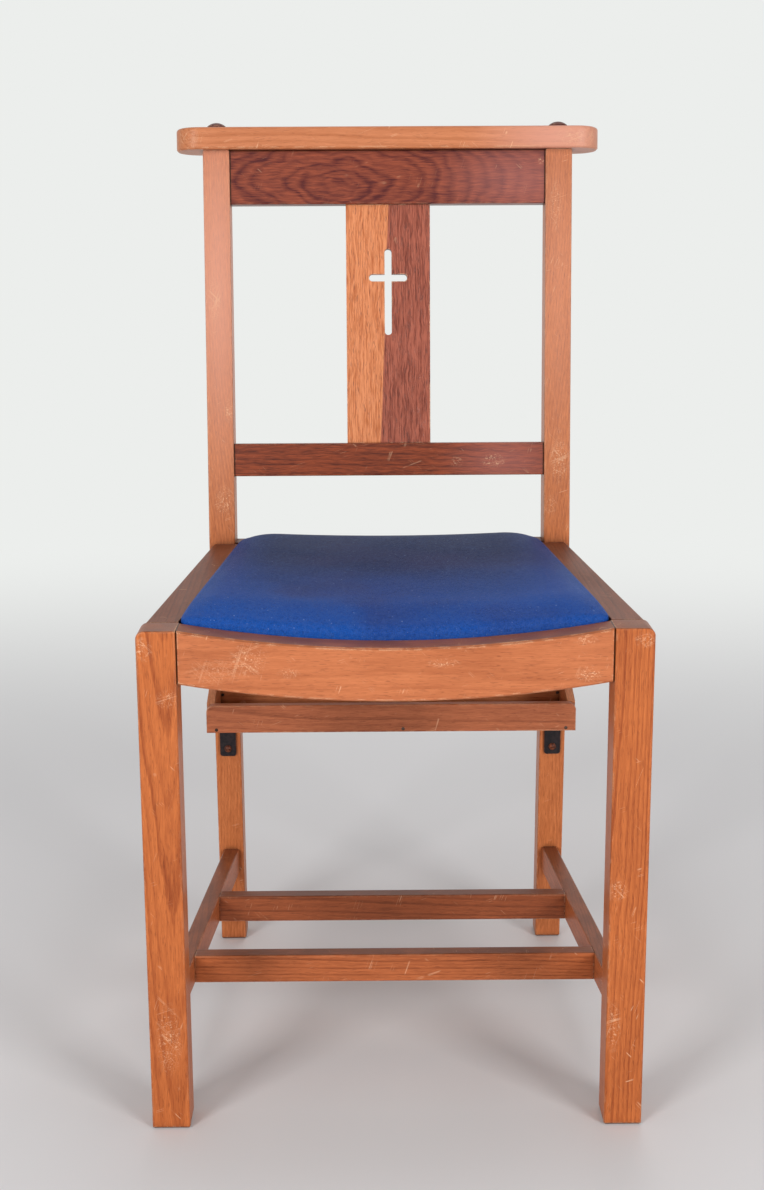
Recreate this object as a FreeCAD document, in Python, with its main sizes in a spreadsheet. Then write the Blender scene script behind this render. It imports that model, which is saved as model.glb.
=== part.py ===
"""A choir chair of planed hardwood with a dished, drop-in seat.

Millimetres, +Z up. The chair faces -Y. X is 0 on the plane that halves it from left to right, and the
origin is on the floor under the middle of the chair's box. Left and right are those of the picture, which
is taken from in front: left is -X.

Two working frames are used while the pieces are drawn, and each piece's Placement then carries it to the
chair's own frame:

* the seat frame has Y = 0 on the front faces of the front legs and Z = 0 on the floor;
* the back frame lies in the leaning back: Y = 0 on the front faces of the posts, Z runs up the post from
  the bend above the seat.
"""

import FreeCAD, Part
import Sketcher
import math
import os

from FreeCAD import Placement, Rotation, Vector

SIDES = {"left": -1, "right": 1}

# The driving sizes. Each one is written once, here, and goes into the document's sheet under its name.

SIZES = {
    # The whole chair
    "seat_height": 450.0,
    "front_width": 430.0,
    "rear_width": 375.0,
    "seat_depth": 383.0,
    "post_length": 396.0,
    "back_rake": 5.85,
    # Front legs
    "leg_face": 33.0,
    "leg_ease": 1.5,
    "leg_top_round": 7.0,
    "foot_chamfer": 2.0,
    # Rear legs, sawn with the back posts out of one plank each
    "post_face": 27.0,
    "post_depth": 34.0,
    "post_depth_top": 28.0,
    "post_depth_foot": 30.0,
    "foot_set_back": 24.0,
    "crank_below": 50.0,
    "crank_above": 5.0,
    "crank_round": 260.0,
    # Seat rails
    "rail_height": 46.0,
    "rail_thinner_than_leg": 6.0,
    "rear_rail_behind_post_front": 9.0,
    "rail_inset_front": 5.0,
    "rail_inset_rear": 4.5,
    "front_rail_inset": 1.5,
    "front_dish": 16.0,
    "rear_dish": 4.0,
    "rail_ease": 1.5,
    # Tenons and their mortises
    "tenon_thick": 10.0,
    "tenon_height": 30.0,
    "tenon_long": 12.0,
    "tenon_gap": 0.1,
    "tenon_apart_front": 1.0,
    "tenon_apart_rear": 4.5,
    # Stretchers
    "stretcher_height": 27.0,
    "stretcher_thick": 16.0,
    "stretcher_top": 108.0,
    "stretcher_tenon_height": 19.0,
    "stretcher_tenon_long": 12.0,
    "front_cross_place": 122.0,
    "rear_cross_place": 265.0,
    # Corner blocks and the battens that carry the loose seat
    "block_reach": 50.0,
    "block_cut": 12.0,
    "block_height": 20.0,
    "block_drop": 25.0,
    "block_screw_place": 30.0,
    "batten_width": 15.0,
    "batten_height": 20.0,
    "batten_length": 240.0,
    # Rails and splat of the back
    "upper_rail_height": 54.0,
    "lower_rail_height": 33.5,
    "lower_rail_place": 65.5,
    "back_rail_thick": 20.0,
    "back_rail_set_back": 3.0,
    "back_tenon_thick": 8.0,
    "back_tenon_screw_gap": 2.0,
    "splat_width": 86.0,
    "splat_thick": 12.0,
    "splat_tongue": 8.0,
    "splat_tongue_thick": 8.0,
    "cross_slot": 7.2,
    "cross_upright": 87.0,
    "cross_bar": 39.0,
    "cross_top_gap": 45.0,
    "cross_bar_drop": 29.0,
    # Cap rail, its screws and their domed covers
    "cap_side_overhang": 27.5,
    "cap_depth": 50.0,
    "cap_thick": 22.0,
    "cap_overhang": 8.0,
    "cap_corner": 24.0,
    "cap_ease": 3.0,
    "cap_bore": 10.0,
    "cap_bore_depth": 12.0,
    "button_width": 19.0,
    "button_height": 6.5,
    "button_rim": 2.8,
    "button_spigot": 7.0,
    # Book tray under the seat
    "tray_depth": 83.0,
    "tray_underside": 271.0,
    "tray_floor_thick": 6.0,
    "tray_lip_height": 28.5,
    "tray_lip_thick": 9.0,
    "tray_lip_round": 7.0,
    "tray_side_thick": 8.0,
    "tray_back_thick": 8.0,
    "tray_back_height": 51.0,
    "tray_ease": 1.0,
    # Steel angle brackets under the tray
    "bracket_width": 17.0,
    "bracket_thick": 2.5,
    "bracket_down": 54.0,
    "bracket_forward": 50.0,
    "bracket_corner": 3.0,
    "bracket_hole_low": 8.5,
    "bracket_hole_high": 32.0,
    # Loose seat: a bent board, a foam and a sheet cover tacked under the board
    "seat_gap": 1.5,
    "seat_rest_gap": 0.3,
    "board_thick": 9.0,
    "board_top_drop": 6.0,
    "board_corner": 6.0,
    "cover_thick": 1.2,
    "cover_hem": 22.0,
    "layer_gap": 0.1,
    "crown": 20.0,
    "shoulder": 40.0,
    # Screws, nails and staples
    "screw_shank": 4.0,
    "screw_head": 8.0,
    "screw_head_high": 3.0,
    "screw_gap": 0.1,
    "nail_shank": 1.8,
    "nail_head": 3.6,
    "nail_head_high": 0.8,
    "nail_long": 22.0,
    "nail_inset": 10.0,
    "nail_proud": 0.15,
    "middle_nail_across": 12.0,
    "back_nail_low": 288.0,
    "back_nail_high": 310.0,
    "cap_screw_long": 55.0,
    "batten_screw_long": 24.0,
    "block_screw_long": 28.0,
    "leg_screw_long": 20.0,
    "tray_screw_long": 7.5,
    "staple_width": 9.0,
    "staple_wire": 1.0,
    "staple_leg": 6.0,
}


class Size:
    """A length that keeps, beside its value, the formula by which the document works it out."""

    def __init__(self, value, formula):
        self.value = value
        self.formula = formula

    def joined(self, other, sign, value):
        return Size(value, "(%s %s %s)" % (self.formula, sign, as_size(other).formula))

    def __add__(self, other):
        return self.joined(other, "+", self.value + as_size(other).value)

    def __sub__(self, other):
        return self.joined(other, "-", self.value - as_size(other).value)

    def __mul__(self, other):
        return self.joined(other, "*", self.value * as_size(other).value)

    def __truediv__(self, other):
        return self.joined(other, "/", self.value / as_size(other).value)

    def __radd__(self, other):
        return as_size(other) + self

    def __rsub__(self, other):
        return as_size(other) - self

    def __rmul__(self, other):
        return as_size(other) * self

    def __neg__(self):
        return as_size(-1.0) * self

    def __float__(self):
        return float(self.value)


def as_size(thing):
    """A plain number as a Size, or a Size as it is."""
    if isinstance(thing, Size):
        return thing
    return Size(float(thing), "(%.9g)" % float(thing))


class Sheet:
    """The driving sizes by name: sizes.leg_face is the Size kept in the sheet under leg_face."""

    def __init__(self, document, table):
        self.sheet = document.addObject("Spreadsheet::Sheet", "sizes")
        for row, (name, value) in enumerate(table.items(), start=1):
            self.sheet.set("A%d" % row, name)
            self.sheet.set("B%d" % row, str(value))
            self.sheet.setAlias("B%d" % row, name)
        self.table = table

    def __getattr__(self, name):
        return Size(self.table[name], "sizes." + name)


doc = FreeCAD.newDocument("choir_chair")
sizes = Sheet(doc, SIZES)
doc.recompute()
made = []

# Places that several pieces share

half_front = sizes.front_width / 2
half_rear = sizes.rear_width / 2
leg_inner = half_front - sizes.leg_face
post_inner = half_rear - sizes.post_face
post_middle = half_rear - sizes.post_face / 2
crank_low = sizes.seat_height - sizes.crank_below
crank_high = sizes.seat_height + sizes.crank_above
rail_bottom = sizes.seat_height - sizes.rail_height
rail_middle = sizes.seat_height - sizes.rail_height / 2
rail_outer_front = half_front - sizes.rail_inset_front
rail_outer_rear = half_rear - sizes.rail_inset_rear
rail_thick = sizes.leg_face - sizes.rail_thinner_than_leg
rail_inner_front = rail_outer_front - rail_thick
rail_inner_rear = rail_outer_rear - rail_thick
rail_run = sizes.seat_depth - sizes.leg_face
stretcher_bottom = sizes.stretcher_top - sizes.stretcher_height
stretcher_middle = sizes.stretcher_top - sizes.stretcher_height / 2
front_rail_back = sizes.front_rail_inset + rail_thick
rear_rail_back = sizes.seat_depth + sizes.post_depth
rear_rail_front = sizes.seat_depth + sizes.rear_rail_behind_post_front
foot_front = sizes.seat_depth + sizes.foot_set_back
splay = sizes.foot_set_back / crank_low
cross_tenon_long = sizes.stretcher_thick / 2
stretcher_tenon_thick = sizes.stretcher_thick / 2
front_tenon_middle = sizes.front_rail_inset + rail_thick / 2
rear_tenon_middle = (rear_rail_front + rear_rail_back) / 2
side_tenon_long_front = sizes.leg_face - front_tenon_middle - sizes.tenon_thick / 2 - sizes.tenon_apart_front
side_tenon_long_rear = (
    rear_tenon_middle - sizes.seat_depth - sizes.tenon_thick / 2 - sizes.tenon_apart_rear
)
back_tenon_long = sizes.post_face / 2 - sizes.screw_shank / 2 - sizes.back_tenon_screw_gap
cap_length = sizes.rear_width + sizes.cap_side_overhang * 2
tray_front = sizes.seat_depth - sizes.tray_depth
tray_floor_top = sizes.tray_underside + sizes.tray_floor_thick
tray_lip_back = tray_front + sizes.tray_lip_thick
tray_back_top = sizes.tray_underside + sizes.tray_back_height
upper_rail_place = sizes.post_length - sizes.upper_rail_height
lower_rail_top = sizes.lower_rail_place + sizes.lower_rail_height
block_top = sizes.seat_height - sizes.block_drop

RAKE = math.radians(SIZES["back_rake"])
SPLAY = math.atan(float(splay))


def leg_front(height):
    """How far back the front face of a rear leg is, at a height below the bend."""
    return foot_front - splay * height


def toward_rear(front, rear, place):
    """A size that goes from front, at the front leg's back, to rear, at the rear leg's front."""
    return front + (rear - front) * (place - sizes.leg_face) / rail_run


# The overall depth, from the front legs to the back edge of the cap, sets where the origin lies

overall_depth = (
    SIZES["seat_depth"]
    + (SIZES["post_length"] + SIZES["cap_thick"]) * math.sin(RAKE)
    + (SIZES["cap_depth"] - SIZES["cap_overhang"]) * math.cos(RAKE)
)
SEAT_FRAME = Placement(Vector(0, -overall_depth / 2, 0), Rotation())
BACK_FRAME = SEAT_FRAME * Placement(
    Vector(0, SIZES["seat_depth"], float(crank_high)), Rotation(Vector(1, 0, 0), -math.degrees(RAKE))
)

# Drawing tools


def start(label, frame=SEAT_FRAME):
    """A new piece under its own name, standing in one of the two working frames."""
    body = doc.addObject("PartDesign::Body", label)
    body.Label = label
    body.Placement = frame
    made.append(body)
    return body


def plane_of(body, role):
    return [feature for feature in body.Origin.OriginFeatures if feature.Role == role][0]


def arc_between(first, last, radius, centre_on_left):
    """The arc from first to last of the given radius, and whether it runs from first to last."""
    middle = (first + last) / 2
    across = last - first
    left = Vector(-across.y, across.x, 0).normalize()
    height = math.sqrt(max(radius**2 - (across.Length / 2) ** 2, 0.0))
    centre = middle + left * (height if centre_on_left else -height)
    ends = [first, last] if centre_on_left else [last, first]
    angles = [math.atan2(end.y - centre.y, end.x - centre.x) for end in ends]
    circle = Part.Circle(centre, Vector(0, 0, 1), radius)
    return Part.ArcOfCircle(circle, angles[0], angles[1]), centre_on_left


def draw(body, role, corners, arcs=None, lift=0.0):
    """A closed outline on one of the piece's own planes, every corner held by its two formulas.

    arcs gives, for an edge that starts at the corner of that number, a radius and whether the centre lies
    on the left of the way along the edge. lift moves the plane along its own normal.
    """
    arcs = arcs or {}
    sketch = body.newObject("Sketcher::SketchObject", body.Label + "_outline")
    sketch.AttachmentSupport = [(plane_of(body, role), "")]
    sketch.MapMode = "FlatFace"
    sketch.AttachmentOffset = Placement(Vector(0, 0, float(lift)), Rotation())
    if isinstance(lift, Size):
        sketch.setExpression("AttachmentOffset.Base.z", lift.formula)
    corners = [(as_size(across), as_size(up)) for across, up in corners]
    points = [Vector(float(across), float(up), 0) for across, up in corners]
    count = len(points)
    ends = []
    for number, point in enumerate(points):
        following = points[(number + 1) % count]
        if number in arcs:
            radius, on_left = arcs[number]
            arc, forward = arc_between(point, following, float(radius), on_left)
            sketch.addGeometry(arc, False)
            ends.append((1, 2) if forward else (2, 1))
        else:
            sketch.addGeometry(Part.LineSegment(point, following), False)
            ends.append((1, 2))
    for number in range(count):
        after = (number + 1) % count
        link = Sketcher.Constraint("Coincident", number, ends[number][1], after, ends[after][0])
        sketch.addConstraint(link)
    for number, pair in enumerate(corners):
        hold(sketch, number, ends[number][0], pair)
    for number, (radius, _) in arcs.items():
        index = sketch.addConstraint(Sketcher.Constraint("Radius", number, float(radius)))
        sketch.setExpression("Constraints[%d]" % index, as_size(radius).formula)
    return sketch


def hold(sketch, edge, end, pair):
    """Holds one corner of an outline at its distances from the two axes."""
    for kind, axis, distance in (("DistanceX", -2, pair[0]), ("DistanceY", -1, pair[1])):
        if abs(distance.value) < 1e-9:
            sketch.addConstraint(Sketcher.Constraint("PointOnObject", edge, end, axis))
        else:
            index = sketch.addConstraint(Sketcher.Constraint(kind, edge, end, distance.value))
            sketch.setExpression("Constraints[%d]" % index, distance.formula)


def pad(body, sketch, length, both_ways=False, backwards=False):
    """Thickens an outline into wood."""
    return thicken(body, "PartDesign::Pad", sketch, length, both_ways, backwards)


def pocket(body, sketch, length, both_ways=False, backwards=False):
    """Cuts an outline out of the wood, and makes sure that something was cut."""
    before = body.Shape.Volume
    feature = thicken(body, "PartDesign::Pocket", sketch, length, both_ways, backwards)
    if before - body.Shape.Volume < 0.01:
        raise RuntimeError("nothing was cut from " + body.Label)
    return feature


def thicken(body, kind, sketch, length, both_ways, backwards):
    feature = body.newObject(kind, body.Label + kind[12:])
    feature.Profile = sketch
    feature.SideType = "Symmetric" if both_ways else "One side"
    feature.Reversed = backwards
    feature.Length = float(length)
    feature.setExpression("Length", as_size(length).formula)
    sketch.Visibility = False
    doc.recompute()
    return feature


def edges_where(shape, along=None, **places):
    """Names of the straight edges along an axis whose middle lies at the given x, y or z."""
    names = []
    for number, edge in enumerate(shape.Edges, start=1):
        middle = edge.CenterOfMass
        run = edge.Vertexes[-1].Point - edge.Vertexes[0].Point
        if run.Length < 1e-6:
            continue
        if along and abs(getattr(run.normalize(), along)) < 0.9:
            continue
        if all(abs(getattr(middle, axis) - float(place)) < 0.05 for axis, place in places.items()):
            names.append("Edge%d" % number)
    return names


def dress(body, kind, names, size):
    """Rounds or chamfers named edges of the piece as it stands."""
    if not names:
        raise RuntimeError("no edge to dress on " + body.Label)
    below = body.Tip
    feature = body.newObject("PartDesign::" + kind, body.Label + kind)
    feature.Base = (below, names)
    field = "Radius" if kind == "Fillet" else "Size"
    setattr(feature, field, float(size))
    feature.setExpression(field, as_size(size).formula)
    doc.recompute()
    return feature


def unplaced(body):
    """The piece's own shape in its working frame, for finding edges."""
    return body.Tip.Shape


def block_between(body, low, high, cut=False):
    """Adds or cuts a square-cornered block between two corners, on the working frame's axes."""
    corners = [(low[0], low[1]), (high[0], low[1]), (high[0], high[1]), (low[0], high[1])]
    sketch = draw(body, "XY_Plane", corners, lift=low[2])
    height = as_size(high[2]) - low[2]
    return pocket(body, sketch, height, backwards=True) if cut else pad(body, sketch, height)


def mortise(body, low, high):
    """A mortise: the block of the tenon, wider by the tenon's gap on the four sides and at the bottom."""
    gap = sizes.tenon_gap
    block_between(body, [edge - gap for edge in low], [edge + gap for edge in high], cut=True)


def ordered(first, second):
    """Two places with the lower value first."""
    return (first, second) if float(first) < float(second) else (second, first)


def round_hole(body, centre, direction, diameter, depth):
    """A round hole from a centre point, in the working frame, along a direction."""
    hole = body.newObject("PartDesign::SubtractiveCylinder", body.Label + "_hole")
    hole.Radius = float(diameter) / 2
    hole.Height = float(depth)
    hole.setExpression("Radius", (as_size(diameter) / 2).formula)
    hole.setExpression("Height", as_size(depth).formula)
    turn = Rotation(Vector(0, 0, 1), direction)
    hole.Placement = Placement(Vector(*[float(value) for value in centre]), turn)
    before = body.Shape.Volume
    doc.recompute()
    if before - body.Shape.Volume < 0.01:
        raise RuntimeError("no hole was cut in " + body.Label)
    return hole


def group(label, solids, frame=SEAT_FRAME):
    """Like fasteners under one name, each its own solid."""
    thing = doc.addObject("Part::Feature", label)
    thing.Label = label
    thing.Shape = Part.makeCompound(solids)
    thing.Placement = frame
    made.append(thing)
    return thing


# Front legs: square, with the top outer corner rounded over where a hand meets it


def side_tenon_front(side):
    """Two corners of the tenon by which a side rail enters its front leg."""
    middle = (rail_outer_front + rail_inner_front) / 2 * side
    across = ordered(middle - sizes.tenon_thick / 2, middle + sizes.tenon_thick / 2)
    up = (rail_middle - sizes.tenon_height / 2, rail_middle + sizes.tenon_height / 2)
    return (across[0], sizes.leg_face - side_tenon_long_front, up[0]), (across[1], sizes.leg_face, up[1])


def front_tenon(side):
    """Two corners of the tenon by which the front rail enters a front leg."""
    across = ordered(leg_inner * side, (leg_inner + sizes.tenon_long) * side)
    middle = front_tenon_middle
    low = (across[0], middle - sizes.tenon_thick / 2, rail_middle - sizes.tenon_height / 2)
    high = (across[1], middle + sizes.tenon_thick / 2, rail_middle + sizes.tenon_height / 2)
    return low, high


def stretcher_tenon_across(side, outer):
    """The two sides of a side stretcher's tenon, from where its outer face meets the leg."""
    middle = (outer - sizes.stretcher_thick / 2) * side
    return ordered(middle - stretcher_tenon_thick / 2, middle + stretcher_tenon_thick / 2)


def stretcher_tenon_up():
    half = sizes.stretcher_tenon_height / 2
    return stretcher_middle - half, stretcher_middle + half


def stretcher_tenon_front(side):
    across = stretcher_tenon_across(side, rail_outer_front)
    up = stretcher_tenon_up()
    near = sizes.leg_face - sizes.stretcher_tenon_long
    return (across[0], near, up[0]), (across[1], sizes.leg_face, up[1])


def plate_from_front(body, corners, arcs, front, back):
    """An outline seen from the front, thickened between two depths."""
    sketch = draw(body, "XZ_Plane", corners, arcs, lift=-back)
    return pad(body, sketch, back - front)


def plate_from_side(body, corners, middle, width, arcs=None):
    """An outline seen from the side, thickened both ways about a place across the chair."""
    sketch = draw(body, "YZ_Plane", corners, arcs, lift=middle)
    return pad(body, sketch, width, both_ways=True)


def plate_from_above(body, corners, low, high, arcs=None):
    """A plan outline, thickened between two heights."""
    sketch = draw(body, "XY_Plane", corners, arcs, lift=low)
    return pad(body, sketch, high - low)


def edges_at(shape, along, longer_than=0.0, **places):
    """Names of the edges, straight or curved, whose box has no extent off the given plane."""
    names = []
    for number, edge in enumerate(shape.Edges, start=1):
        box = edge.BoundBox
        flat = all(
            abs(getattr(box, axis.upper() + "Min") - float(place)) < 0.01
            and abs(getattr(box, axis.upper() + "Max") - float(place)) < 0.01
            for axis, place in places.items()
        )
        if flat and getattr(box, along.upper() + "Length") > longer_than:
            names.append("Edge%d" % number)
    return names


def front_leg(name, side):
    leg = start("front_leg_" + name)
    inner = leg_inner * side
    outer = half_front * side
    shoulder = (half_front - sizes.leg_top_round) * side
    corners = [
        (inner, 0.0),
        (outer, 0.0),
        (outer, sizes.seat_height - sizes.leg_top_round),
        (shoulder, sizes.seat_height),
        (inner, sizes.seat_height),
    ]
    plate_from_front(leg, corners, {2: (sizes.leg_top_round, side > 0)}, as_size(0.0), sizes.leg_face)
    foot = edges_at(unplaced(leg), "x", z=0.0) + edges_at(unplaced(leg), "y", z=0.0)
    dress(leg, "Chamfer", foot, sizes.foot_chamfer)
    shape = unplaced(leg)
    front = edges_at(shape, "z", 5.0, y=0.0) + edges_at(shape, "x", y=0.0, z=sizes.seat_height)
    front += edges_at(shape, "z", 5.0, y=sizes.leg_face, x=outer)
    dress(leg, "Fillet", sorted(set(front)), sizes.leg_ease)
    for tenon in (front_tenon(side), side_tenon_front(side), stretcher_tenon_front(side)):
        mortise(leg, *tenon)


# Rear legs: upright where the seat rails meet them, splayed back to the foot, raked back above the seat


def side_tenon_rear(side):
    """Two corners of the tenon by which a side rail enters its rear leg."""
    middle = (rail_outer_rear + rail_inner_rear) / 2 * side
    across = ordered(middle - sizes.tenon_thick / 2, middle + sizes.tenon_thick / 2)
    low = (across[0], sizes.seat_depth, rail_middle - sizes.tenon_height / 2)
    high = (across[1], sizes.seat_depth + side_tenon_long_rear, rail_middle + sizes.tenon_height / 2)
    return low, high


def rear_tenon(side):
    """Two corners of the tenon by which the rear rail enters a rear leg."""
    across = ordered(post_inner * side, (post_inner + sizes.tenon_long) * side)
    middle = rear_tenon_middle
    low = (across[0], middle - sizes.tenon_thick / 2, rail_middle - sizes.tenon_height / 2)
    high = (across[1], middle + sizes.tenon_thick / 2, rail_middle + sizes.tenon_height / 2)
    return low, high


def stretcher_tenon_rear(side):
    """Two corners of the tenon by which a side stretcher enters its rear leg."""
    across = stretcher_tenon_across(side, rail_outer_rear)
    up = stretcher_tenon_up()
    near = leg_front(sizes.stretcher_top)
    far = leg_front(stretcher_bottom) + sizes.stretcher_tenon_long
    return (across[0], near - 1, up[0]), (across[1], far, up[1])


def back_rail_tenon(side, bottom, height):
    """Two corners of a back rail's tenon, in the back frame."""
    across = ordered(post_inner * side, (post_inner + back_tenon_long) * side)
    middle = sizes.back_rail_set_back + sizes.back_rail_thick / 2
    margin = height / 6
    low = (across[0], middle - sizes.back_tenon_thick / 2, bottom + margin)
    high = (across[1], middle + sizes.back_tenon_thick / 2, bottom + height - margin)
    return low, high


def post_corners():
    """The rear leg seen from the side, up its front face and down its back."""
    lean = Size(math.sin(RAKE), "sin(sizes.back_rake * 1deg)")
    rise = Size(math.cos(RAKE), "cos(sizes.back_rake * 1deg)")
    top_front = (sizes.seat_depth + sizes.post_length * lean, crank_high + sizes.post_length * rise)
    top_back = (top_front[0] + sizes.post_depth_top * rise, top_front[1] - sizes.post_depth_top * lean)
    return [
        (foot_front, as_size(0.0)),
        (sizes.seat_depth, crank_low),
        (sizes.seat_depth, crank_high),
        top_front,
        top_back,
        (sizes.seat_depth + sizes.post_depth, crank_high),
        (sizes.seat_depth + sizes.post_depth, crank_low),
        (foot_front + sizes.post_depth_foot, as_size(0.0)),
    ]


def turned_mortise(body, low, high):
    """A mortise given in the back frame, cut in a piece that stands in the seat frame."""
    gap = sizes.tenon_gap
    box = body.newObject("PartDesign::SubtractiveBox", body.Label + "_mortise")
    for field, axis in (("Length", 0), ("Width", 1), ("Height", 2)):
        span = as_size(high[axis]) - low[axis] + gap * 2
        setattr(box, field, float(span))
        box.setExpression(field, span.formula)
    corner = Vector(*[float(value) - float(gap) for value in low])
    box.Placement = SEAT_FRAME.inverse() * BACK_FRAME * Placement(corner, Rotation())
    doc.recompute()


def rear_leg(name, side):
    leg = start("rear_leg_" + name)
    plate_from_side(leg, post_corners(), post_middle * side, sizes.post_face)
    foot = edges_at(unplaced(leg), "x", z=0.0) + edges_at(unplaced(leg), "y", z=0.0)
    dress(leg, "Chamfer", foot, sizes.foot_chamfer)
    bends = []
    for height in (crank_low, crank_high):
        for depth in (sizes.seat_depth, sizes.seat_depth + sizes.post_depth):
            bends += edges_where(unplaced(leg), "x", y=depth, z=height)
    dress(leg, "Fillet", bends, sizes.crank_round)
    long_edges = [
        "Edge%d" % number
        for number, edge in enumerate(unplaced(leg).Edges, start=1)
        if edge.BoundBox.ZLength > 2.0
    ]
    dress(leg, "Fillet", long_edges, sizes.leg_ease)
    for tenon in (side_tenon_rear(side), rear_tenon(side), stretcher_tenon_rear(side)):
        mortise(leg, *tenon)
    for bottom, height in BACK_RAILS:
        turned_mortise(leg, *back_rail_tenon(side, bottom, height))


# Seat rails: the front one is dished along both edges, the side ones run in towards the back


def tenon_on(body, low, high):
    """A tenon, added to the end of a rail."""
    block_between(body, low, high)


def front_seat_rail():
    rail = start("front_seat_rail")
    radius = (leg_inner * leg_inner + sizes.front_dish * sizes.front_dish) / (sizes.front_dish * 2)
    corners = [
        (-leg_inner, rail_bottom),
        (leg_inner, rail_bottom),
        (leg_inner, sizes.seat_height),
        (-leg_inner, sizes.seat_height),
    ]
    arcs = {0: (radius, True), 2: (radius, False)}
    plate_from_front(rail, corners, arcs, sizes.front_rail_inset, front_rail_back)
    face = edges_at(unplaced(rail), "x", y=sizes.front_rail_inset)
    face += edges_at(unplaced(rail), "z", y=sizes.front_rail_inset)
    dress(rail, "Chamfer", face, sizes.rail_ease)
    for side in SIDES.values():
        tenon_on(rail, *front_tenon(side))


def side_seat_rail(name, side):
    rail = start("side_seat_rail_" + name)
    corners = [
        (rail_outer_front * side, sizes.leg_face),
        (rail_outer_rear * side, sizes.seat_depth),
        (rail_inner_rear * side, sizes.seat_depth),
        (rail_inner_front * side, sizes.leg_face),
    ]
    plate_from_above(rail, corners, rail_bottom, sizes.seat_height)
    outside = []
    for number, edge in enumerate(unplaced(rail).Edges, start=1):
        outer = float(rail_outer_front + rail_outer_rear) / 2 - 1
        if edge.BoundBox.YLength > 100 and abs(edge.CenterOfMass.x) > outer:
            outside.append("Edge%d" % number)
    dress(rail, "Fillet", outside, sizes.rail_ease)
    tenon_on(rail, *side_tenon_front(side))
    tenon_on(rail, *side_tenon_rear(side))


def rear_seat_rail():
    rail = start("rear_seat_rail")
    low = (-post_inner, rear_rail_front, rail_bottom)
    high = (post_inner, rear_rail_back, sizes.seat_height)
    block_between(rail, low, high)
    dress(rail, "Fillet", edges_at(unplaced(rail), "x", y=rear_rail_back), sizes.rail_ease)
    for side in SIDES.values():
        tenon_on(rail, *rear_tenon(side))


# Stretchers: two along the sides, cut at the back to the slope of the rear legs, and two across


def cross_places():
    """Front face, back face of each cross stretcher."""
    return {
        "front": (sizes.front_cross_place, sizes.front_cross_place + sizes.stretcher_thick),
        "rear": (sizes.rear_cross_place, sizes.rear_cross_place + sizes.stretcher_thick),
    }


def stretcher_inner(place):
    return toward_rear(rail_outer_front, rail_outer_rear, place) - sizes.stretcher_thick


def cross_tenon(side, front, back):
    """Two corners of the tenon by which a cross stretcher enters a side stretcher."""
    middle = (front + back) / 2
    inner = stretcher_inner(middle)
    across = ordered((inner - 1) * side, (inner + cross_tenon_long) * side)
    up = stretcher_tenon_up()
    low = (across[0], middle - stretcher_tenon_thick / 2, up[0])
    high = (across[1], middle + stretcher_tenon_thick / 2, up[1])
    return low, high


def side_stretcher(name, side):
    stretcher = start("side_stretcher_" + name)
    far = leg_front(stretcher_bottom)
    outer_far = toward_rear(rail_outer_front, rail_outer_rear, far)
    corners = [
        (rail_outer_front * side, sizes.leg_face),
        (outer_far * side, far),
        ((outer_far - sizes.stretcher_thick) * side, far),
        ((rail_outer_front - sizes.stretcher_thick) * side, sizes.leg_face),
    ]
    plate_from_above(stretcher, corners, stretcher_bottom, sizes.stretcher_top)
    outside = []
    for number, edge in enumerate(unplaced(stretcher).Edges, start=1):
        if edge.BoundBox.YLength > 100:
            outside.append("Edge%d" % number)
    dress(stretcher, "Fillet", outside, sizes.leg_ease)
    wedge = [
        (leg_front(stretcher_bottom), stretcher_bottom),
        (leg_front(stretcher_bottom) + 20, stretcher_bottom),
        (leg_front(sizes.stretcher_top) + 20, sizes.stretcher_top),
        (leg_front(sizes.stretcher_top), sizes.stretcher_top),
    ]
    sketch = draw(stretcher, "YZ_Plane", wedge, lift=post_middle * side)
    pocket(stretcher, sketch, sizes.post_face * 2, both_ways=True)
    tenon_on(stretcher, *stretcher_tenon_front(side))
    tenon_on(stretcher, *stretcher_tenon_rear(side))
    for front, back in cross_places().values():
        mortise(stretcher, *cross_tenon(side, front, back))


def cross_stretcher(name, front, back):
    stretcher = start(name + "_cross_stretcher")
    corners = [
        (-stretcher_inner(front), front),
        (stretcher_inner(front), front),
        (stretcher_inner(back), back),
        (-stretcher_inner(back), back),
    ]
    plate_from_above(stretcher, corners, stretcher_bottom, sizes.stretcher_top)
    long_edges = edges_at(unplaced(stretcher), "x", 100.0, y=front)
    long_edges += edges_at(unplaced(stretcher), "x", 100.0, y=back)
    dress(stretcher, "Fillet", long_edges, sizes.leg_ease)
    for side in SIDES.values():
        tenon_on(stretcher, *cross_tenon(side, front, back))


# Corner blocks in the four corners of the seat frame, and the battens on which the loose seat rests


def side_inner(place):
    """How far the inner face of a side rail is from the middle, at a place from front to back."""
    return toward_rear(rail_inner_front, rail_inner_rear, place)


def corner_block(end, name, side):
    block = start("corner_block_%s_%s" % (end, name))
    way = 1 if end == "front" else -1
    wall = front_rail_back if end == "front" else rear_rail_front
    cut = wall + sizes.block_cut * way
    reach = wall + sizes.block_reach * way
    corners = [
        ((side_inner(wall) - sizes.block_reach) * side, wall),
        ((side_inner(wall) - sizes.block_cut) * side, wall),
        (side_inner(cut) * side, cut),
        (side_inner(reach) * side, reach),
    ]
    plate_from_above(block, corners, block_top - sizes.block_height, block_top)


def dish_at(place):
    """How deep the seat's dish is at a place from front to back."""
    run = rear_rail_front - front_rail_back
    return sizes.front_dish + (sizes.rear_dish - sizes.front_dish) * (place - front_rail_back) / run


def seat_half(place):
    """Half the width of the loose seat at a place from front to back."""
    return side_inner(place) - sizes.seat_gap


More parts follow.
